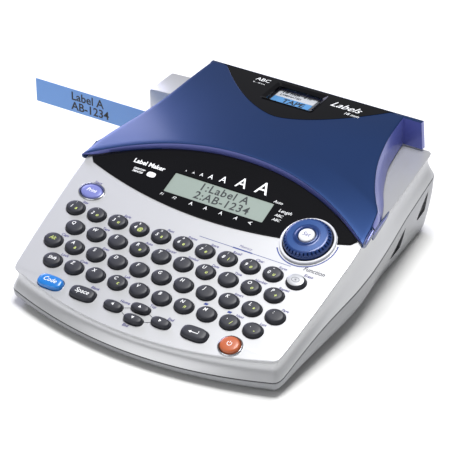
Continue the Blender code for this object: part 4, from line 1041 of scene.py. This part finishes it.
def arrow(bm, x, s, angle, h):
    turn = Matrix.Rotation(math.radians(angle), 2)
    shape = [turn @ Vector(p) for p in ((-1.1, -0.85), (1.1, -0.85), (0.0, 0.95))]
    flat_shape(bm, [tuple(p) for p in shape], lambda px, py: plate_point(x + px, s + py, h))


ARROW_ANGLES = {"left_key": 90, "up_key": 0, "down_key": 180, "right_key": -90}


def draw_key_sign(ink, name, x, s, top):
    """Arrow, return sign or power sign of a key that carries no word."""
    def on_cap(a, b):
        return plate_point(x + a, s + b, top)

    if name in ARROW_ANGLES:
        arrow(ink, x, s + 0.2, ARROW_ANGLES[name], top)
    if name == "enter_key":
        stroke(ink, [(3.2, 1.3), (3.2, -0.6), (-2.0, -0.6)], 0.5, on_cap)
        flat_shape(ink, [(-1.6, -1.6), (-1.6, 0.4), (-3.6, -0.6)], on_cap)
    if name == "power_key":
        ring = [(1.5 * math.sin(math.radians(a)), 1.5 * math.cos(math.radians(a))) for a in range(40, 321, 14)]
        stroke(ink, ring, 0.42, on_cap)
        stroke(ink, [(0.0, 0.3), (0.0, 1.9)], 0.42, on_cap)


def make_function_keys():
    looks = {"print_key": "lavender", "code_key": "code_blue", "power_key": "orange"}
    inks = {"alt_key": "ink_green", "clear_key": "ink_grey"}
    for name, (x, s, rx, ry, power, word, size) in FUNCTION_KEYS.items():
        profile = FLAT_PROFILE if name == "print_key" else KEY_PROFILE
        top = 1.27 if name == "print_key" else LEGEND_H
        cap = piece(f"{name}_cap", key_solid(x, s, (rx, ry), power, profile), looks.get(name, "key"), name, 50)
        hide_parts(name)
        ink = bmesh.new()
        if word and name != "clear_key":
            lettering(ink, word, size * 0.82, on_plate(x, s + 0.3, top), slant=0.25, weight=0.03)
        draw_key_sign(ink, name, x, s, top)
        if name == "clear_key":
            face = dome(((0.86, 2.2), (0.86, 2.98), (0.80, 3.14), (0.5, 3.2)), (rx, ry), 2.0, 40,
                        lambda px, py, h: plate_point(x + px, s + py, h))
            piece("clear_key_face", face, "key_silver", name, 40)
            ring = [(2.6 * math.cos(math.radians(a)), 1.7 * math.sin(math.radians(a))) for a in range(0, 361, 15)]
            stroke(ink, ring, 0.3, lambda a, b: plate_point(x + a, s + b, 3.23))
            for sign in (-1, 1):
                stroke(ink, [(-0.8, -0.8 * sign), (0.8, 0.8 * sign)], 0.3,
                       lambda a, b: plate_point(x + a, s + b, 3.23 + 0.01 * sign))
        piece(f"{name}_legend", ink, inks.get(name, "ink_white"), name, normals=False)
    for name, width in (("print_key", 1.5), ("power_key", 1.4)):
        profile = ((width + 0.1, -1.4), (width + 0.25, 0.25), (width + 0.1, 0.6), (width * 0.62, 0.85),
                   (0.75, 0.62), (0.4, 0.0), (0.35, -1.4))
        rings = grown_layers(*FUNCTION_KEYS[name][:5], 56, profile)
        rim = piece(f"{name}_ring", loft(rings, close=True), "chrome", angle=50)
        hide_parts(f"{name}_rim")


# ---- Dial ---------------------------------------------------------------------------------------------

def make_dial():
    place = on_plate(*DIAL)
    ring = turned([(18.3, 0.2), (18.3, 1.2), (18.1, 1.7), (17.6, 2.0), (17.1, 2.0), (16.7, 1.7), (16.5, 1.2),
                   (16.5, 0.2)], 96)
    ring = piece("dial_surround", ring, "white", matrix=place, angle=40)
    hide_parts("dial_ring")
    profile = [(15.5, 1.0), (15.7, 2.2), (15.6, 3.6), (15.1, 4.9), (14.2, 5.9), (13.0, 6.4), (9.6, 6.6),
               (8.2, 6.5), (7.7, 6.7), (7.2, 7.2), (6.6, 7.3), (6.1, 7.0), (5.75, 6.2), (5.7, 3.0), (5.7, -3.8),
               (9.4, -3.8), (9.6, 1.0)]
    dial = piece("dial_knob", turned(profile, 96), "dial", None, 40)
    notches = bmesh.new()
    notch = ((13.7, -0.42), (16.6, -0.55), (16.6, 0.55), (13.7, 0.42))
    for i in range(DIAL_NOTCHES):
        turn = Matrix.Rotation(2 * math.pi * i / DIAL_NOTCHES, 4, "Z")
        loft([[turn @ Vector((r, w, z)) for r, w in notch] for z in (3.9, 7.5)], notches)
    combine(dial, notches, "DIFFERENCE")
    paint(dial, "dial")
    dial.data.transform(place)
    smooth(dial, 38)
    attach(dial, "dial")
    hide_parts("dial")
    # Black disc in the gap between the dial's ring and knob: painted shadow of that gap.
    shadow_disc = turned([(16.9, 0.05), (16.9, 0.3), (10.4, 0.3), (10.4, 0.05)], 96)
    piece("dial_shadow_disc", shadow_disc, "black", matrix=place)
    face = turned([(12.8, 6.3), (12.6, 6.52), (8.9, 6.72), (8.7, 6.5)], 96)
    piece("dial_face", face, "dial_light", "dial", 40, place)
    button = loft([[(x, y, z) for x, y in ellipse(r, r, 64)] for r, z in
                   ((5.3, -0.8), (5.3, 6.6), (5.15, 7.1), (4.7, 7.5), (3.9, 7.7), (2.4, 7.78), (1.0, 7.8))])
    button = piece("set_button_cap", button, "white", "set_button", 50, place)
    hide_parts("set_button")
    ink = bmesh.new()
    lettering(ink, "Set", 3.1, place @ Matrix.Translation((0, 0, 7.84 * MM)), slant=0.2)
    piece("set_button_word", ink, "ink_violet", "set_button", normals=False)


KEY_WORDS = {"1": "Size", "3": "Style", "5": "Font", "6": "Frame", "7": "Store", "8": "Recall", "9": "Clear",
             "0": "Form", "W": "Tape", "R": "Auto", "T": "Cursor", "Y": "Symbol", "U": "Date", "I": "Time",
             "O": "Number", "P": "Repeat", "S": "Even", "K": "Insert", ":": "Page", "Z": "Code", "C": "Left",
             ",": "Next", ".": "Last"}


def make_plate_marks():
    """Small printed words above the keys, the dial's arc and the lines between the arrow keys."""
    violet, blue, grey = bmesh.new(), bmesh.new(), bmesh.new()
    for legend, x, s in key_places():
        if legend in KEY_WORDS:
            word_place = on_plate(x + 3.4, s + 6.7, PLATE_INK_H)
            lettering(violet, KEY_WORDS[legend], 1.95, word_place, slant=0.2, weight=0.05)
    for text, x, s in (("Start", -84.0, 81.6), ("Caps", -80.5, 35.2), ("Lock", -71.5, 20.8),
                       ("Blank", -38.0, 5.2), ("Home", -14.0, 3.0), ("Top", 4.5, 6.8), ("End", -4.5, -12.4),
                       ("End", 20.4, 2.2), ("Erase", 84.5, 64.2)):
        lettering(violet, text, 2.1, on_plate(x, s, PLATE_INK_H), slant=0.2, weight=0.05)
    lettering(grey, "Function", 3.2, on_plate(86.0, 68.8, PLATE_INK_H), slant=0.2, weight=0.06)

    def place(x, s):
        return plate_point(x, s, PLATE_INK_H)

    for x0, x1, width in ((3.0, 28.0, 0.35), (28.0, 42.0, 0.9), (42.0, 70.0, 0.35)):
        stroke(blue, [(x0, 67.2), (x1, 67.2)], width, place)
    lettering(violet, "Memory", 2.0, on_plate(36.0, 69.8, PLATE_INK_H), slant=0.2)
    arc = []
    for a in range(214, 372, 4):
        angle = math.radians(a)
        arc.append((DIAL[0] + 19.9 * math.cos(angle), DIAL[1] + 19.9 * math.sin(angle)))
    stroke(blue, arc, 0.8, place)
    for a, b in (((-12.0, -1.0), (-8.6, 0.4)), ((-12.0, -4.4), (-8.6, -6.2)), ((5.4, 0.6), (9.2, -1.0)),
                 ((5.4, -6.2), (9.2, -4.6))):
        stroke(grey, [a, b], 0.35, place)
    s = FUNCTION_KEYS["shift_key"][1] + 7.2
    for x in (35.0, 52.0):
        flat_shape(blue, [(x - 1.6, s - 0.8), (x + 1.0, s - 0.8), (x + 1.6, s + 0.8), (x - 1.0, s + 0.8)], place)
    piece("plate_words", violet, "ink_violet", normals=False)
    piece("plate_lines", blue, "ink_blue", normals=False)
    piece("plate_notes", grey, "ink_grey", normals=False)


# ---- Tape, cassette and housing -----------------------------------------------------------------------

def make_tape():
    low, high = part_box("label_tape")
    x0, x1, z0, z1 = low.x / MM, high.x / MM, low.z / MM, high.z / MM
    outline = rounded_rect(x0, x1, z0, z1, 0.6, 3)
    y0, y1 = low.y / MM, high.y / MM
    strip = piece("printed_tape", loft([[(x, y, z) for x, z in outline] for y in (y0 + 0.02, y1)]), "tape")
    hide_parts("label_tape")
    ink = bmesh.new()
    upright = Matrix.Rotation(math.radians(90), 4, "X")
    for line, text in enumerate(("Label A", "AB-1234")):
        place = Matrix.Translation(Vector((x0 + 30.0, y0 - 0.02, z1 - 5.6 - line * 7.6)) * MM) @ upright
        lettering(ink, text, 6.6, place, align="LEFT", weight=0.16)
    piece("tape_print", ink, "ink_lcd", normals=False)


def make_label():
    """Label on a raised pad of the cassette, close under the lid's window: pale above, a blue band below."""
    z = LABEL_PAD_Z
    pad = [(-31.0, 84.0), (12.0, 84.0), (12.0, 110.8), (-31.0, 110.8)]
    base_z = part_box("cassette_upper")[1].z / MM
    rings = [[(x, y, base_z + 0.01) for x, y in pad], [(x, y, z - 0.3) for x, y in pad]]
    rings.append([(x * 0.99, lerp(97.4, y, 0.98), z) for x, y in pad])
    piece("cassette_label_pad", loft(rings), "bay")
    x0, x1, y0, y1 = LABEL_BOX
    split = lerp(y0, y1, 0.46)
    for name, look, low, high in (("cassette_label", "label", split, y1),
                                  ("cassette_label_band", "label_blue", y0, split - 0.15)):
        sheet = loft(layers(rounded_rect(x0, x1, low, high, 0.5, 2), (z + 0.02, z + 0.14)))
        piece(name, sheet, look)
    ink = bmesh.new()
    for text, size, x, y in (("18 mm", 3.6, 0.30, 0.88), ("8 m", 2.8, 0.74, 0.88), ("LAMINATED", 2.2, 0.36, 0.64),
                             ("TAPE", 5.4, 0.56, 0.21)):
        place = Matrix.Translation(Vector((lerp(x0, x1, x), lerp(y0, y1, y), z + 0.17)) * MM)
        lettering(ink, text, size, place, weight=0.04 * size)
    piece("cassette_label_print", ink, "ink_lcd", normals=False)


def make_housing():
    """Raised block on the left deck with rounded edges."""
    low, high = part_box("tape_exit_housing")
    y0, y1 = low.y / MM, high.y / MM
    profile = [(-87.6, DECK_Z + 0.4), (-87.6, 74.9), (-87.9, 75.35), (-88.4, 75.4), (-103.6, 74.7),
               (-105.0, 74.4), (-105.7, 73.8), (-106.0, 72.8), (-106.0, 47.0), (-105.0, 46.2), (-101.2, 46.2),
               (-101.2, DECK_Z + 0.4)]
    rings = []
    for inset, y in ((0.6, y0), (0.15, y0 + 0.15), (0.0, y0 + 0.6), (0.0, y1 - 0.6), (0.15, y1 - 0.15), (0.6, y1)):
        ring = []
        for x, z in profile:
            dx = -inset if x > -88.5 else inset if x < -103 else 0.0
            ring.append((x + dx, y, z - inset if z > 72 else z))
        rings.append(ring)
    block = piece("exit_block", loft(rings), "silver", angle=40)
    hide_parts("tape_exit_housing")


# ---- Carried-over nodes, stage and camera -------------------------------------------------------------

NODE_LOOKS = {
    "battery_contact_left": "steel", "battery_contact_right": "steel", "battery_cover": "shell",
    "cassette_bay": "bay", "cassette_lower": "cassette", "cassette_upper": "cassette", "cutter_gear": "gear",
    "dc_inlet": "recess", "dial_encoder": "bay", "feed_motor": "steel", "feed_roller": "rubber",
    "fixed_blade": "steel", "foot_front_left": "rubber", "foot_front_right": "rubber",
    "foot_rear_left": "rubber", "foot_rear_right": "rubber", "heat_sink": "steel", "hinge_pin_left": "steel",
    "hinge_pin_right": "steel", "idler_gear": "gear", "inner_tape": "tape", "main_board": "board",
    "motor_pinion": "brass", "moving_blade": "steel", "platen_roller": "rubber", "print_head": "ceramic",
    "reduction_gear": "gear", "ribbon_spindle": "gear", "ribbon_supply_spool": "bay",
    "ribbon_take_up_spool": "bay", "roller_holder": "bay", "tape_spool": "tape", "usb_port": "steel",
}


def dress_nodes():
    for name, look in NODE_LOOKS.items():
        paint(frame["nodes"][name], look)


FLOOR_SIZE = 6.0


def make_stage():
    bm = bmesh.new()
    h = FLOOR_SIZE / 2
    bm.faces.new([bm.verts.new((x, y, 0.0)) for x, y in ((-h, -h), (h, -h), (h, h), (-h, h))])
    mesh = bpy.data.meshes.new("floor")
    bm.to_mesh(mesh)
    bm.free()
    mesh.materials.append(node_material("pale_floor", (0.86, 0.86, 0.85), 0.75, scale=40.0, spread=0.01, bump=0.0))
    floor = link("floor", mesh)

    world = bpy.data.worlds.new("studio")
    world.use_nodes = True
    background = world.node_tree.nodes["Background"]
    background.inputs["Color"].default_value = (0.97, 0.98, 1.0, 1.0)
    background.inputs["Strength"].default_value = 0.28
    bpy.context.scene.world = world


def area_light(name, place, target, size, power, colour=(1.0, 1.0, 1.0)):
    light = bpy.data.lights.new(name, "AREA")
    light.shape = "RECTANGLE"
    light.size, light.size_y = size
    light.energy = power
    light.color = colour
    obj = link(name, light)
    obj.location = place
    obj.rotation_euler = (Vector(target) - Vector(place)).to_track_quat("-Z", "Y").to_euler()


def make_lights():
    middle = (0.0, 0.0, 0.04)
    area_light("key_light", (0.10, 0.05, 1.40), middle, (0.7, 0.7), 25.0)
    area_light("left_light", (-1.15, 0.66, 0.72), middle, (0.6, 0.6), 9.0, (0.74, 0.74, 1.0))
    area_light("front_light", (-0.5, -1.3, 0.75), middle, (0.9, 0.5), 3.5)


CAMERA_AZIMUTH = math.radians(31.6)
CAMERA_ELEVATION = math.radians(32.33)
CAMERA_DISTANCE = 1.35986
CAMERA_TARGET = Vector((0.0020, -0.0062, 0.040))
CAMERA_LENS = 167.4


def make_camera():
    data = bpy.data.cameras.new("camera")
    data.lens = CAMERA_LENS
    data.sensor_width = 36.0
    camera = link("camera", data)
    direction = Vector((math.sin(CAMERA_AZIMUTH) * math.cos(CAMERA_ELEVATION),
                        -math.cos(CAMERA_AZIMUTH) * math.cos(CAMERA_ELEVATION), math.sin(CAMERA_ELEVATION)))
    camera.location = CAMERA_TARGET + direction * CAMERA_DISTANCE
    camera.rotation_euler = (-direction).to_track_quat("-Z", "Y").to_euler()
    bpy.context.scene.camera = camera
    bpy.context.scene.view_settings.view_transform = "Standard"


make_upper_case()
make_lower_case()
make_lid()
make_panel()
make_panel_marks()
make_letter_keys()
make_function_keys()
make_dial()
make_plate_marks()
make_tape()
make_label()
make_housing()
dress_nodes()
make_stage()
make_lights()
make_camera()
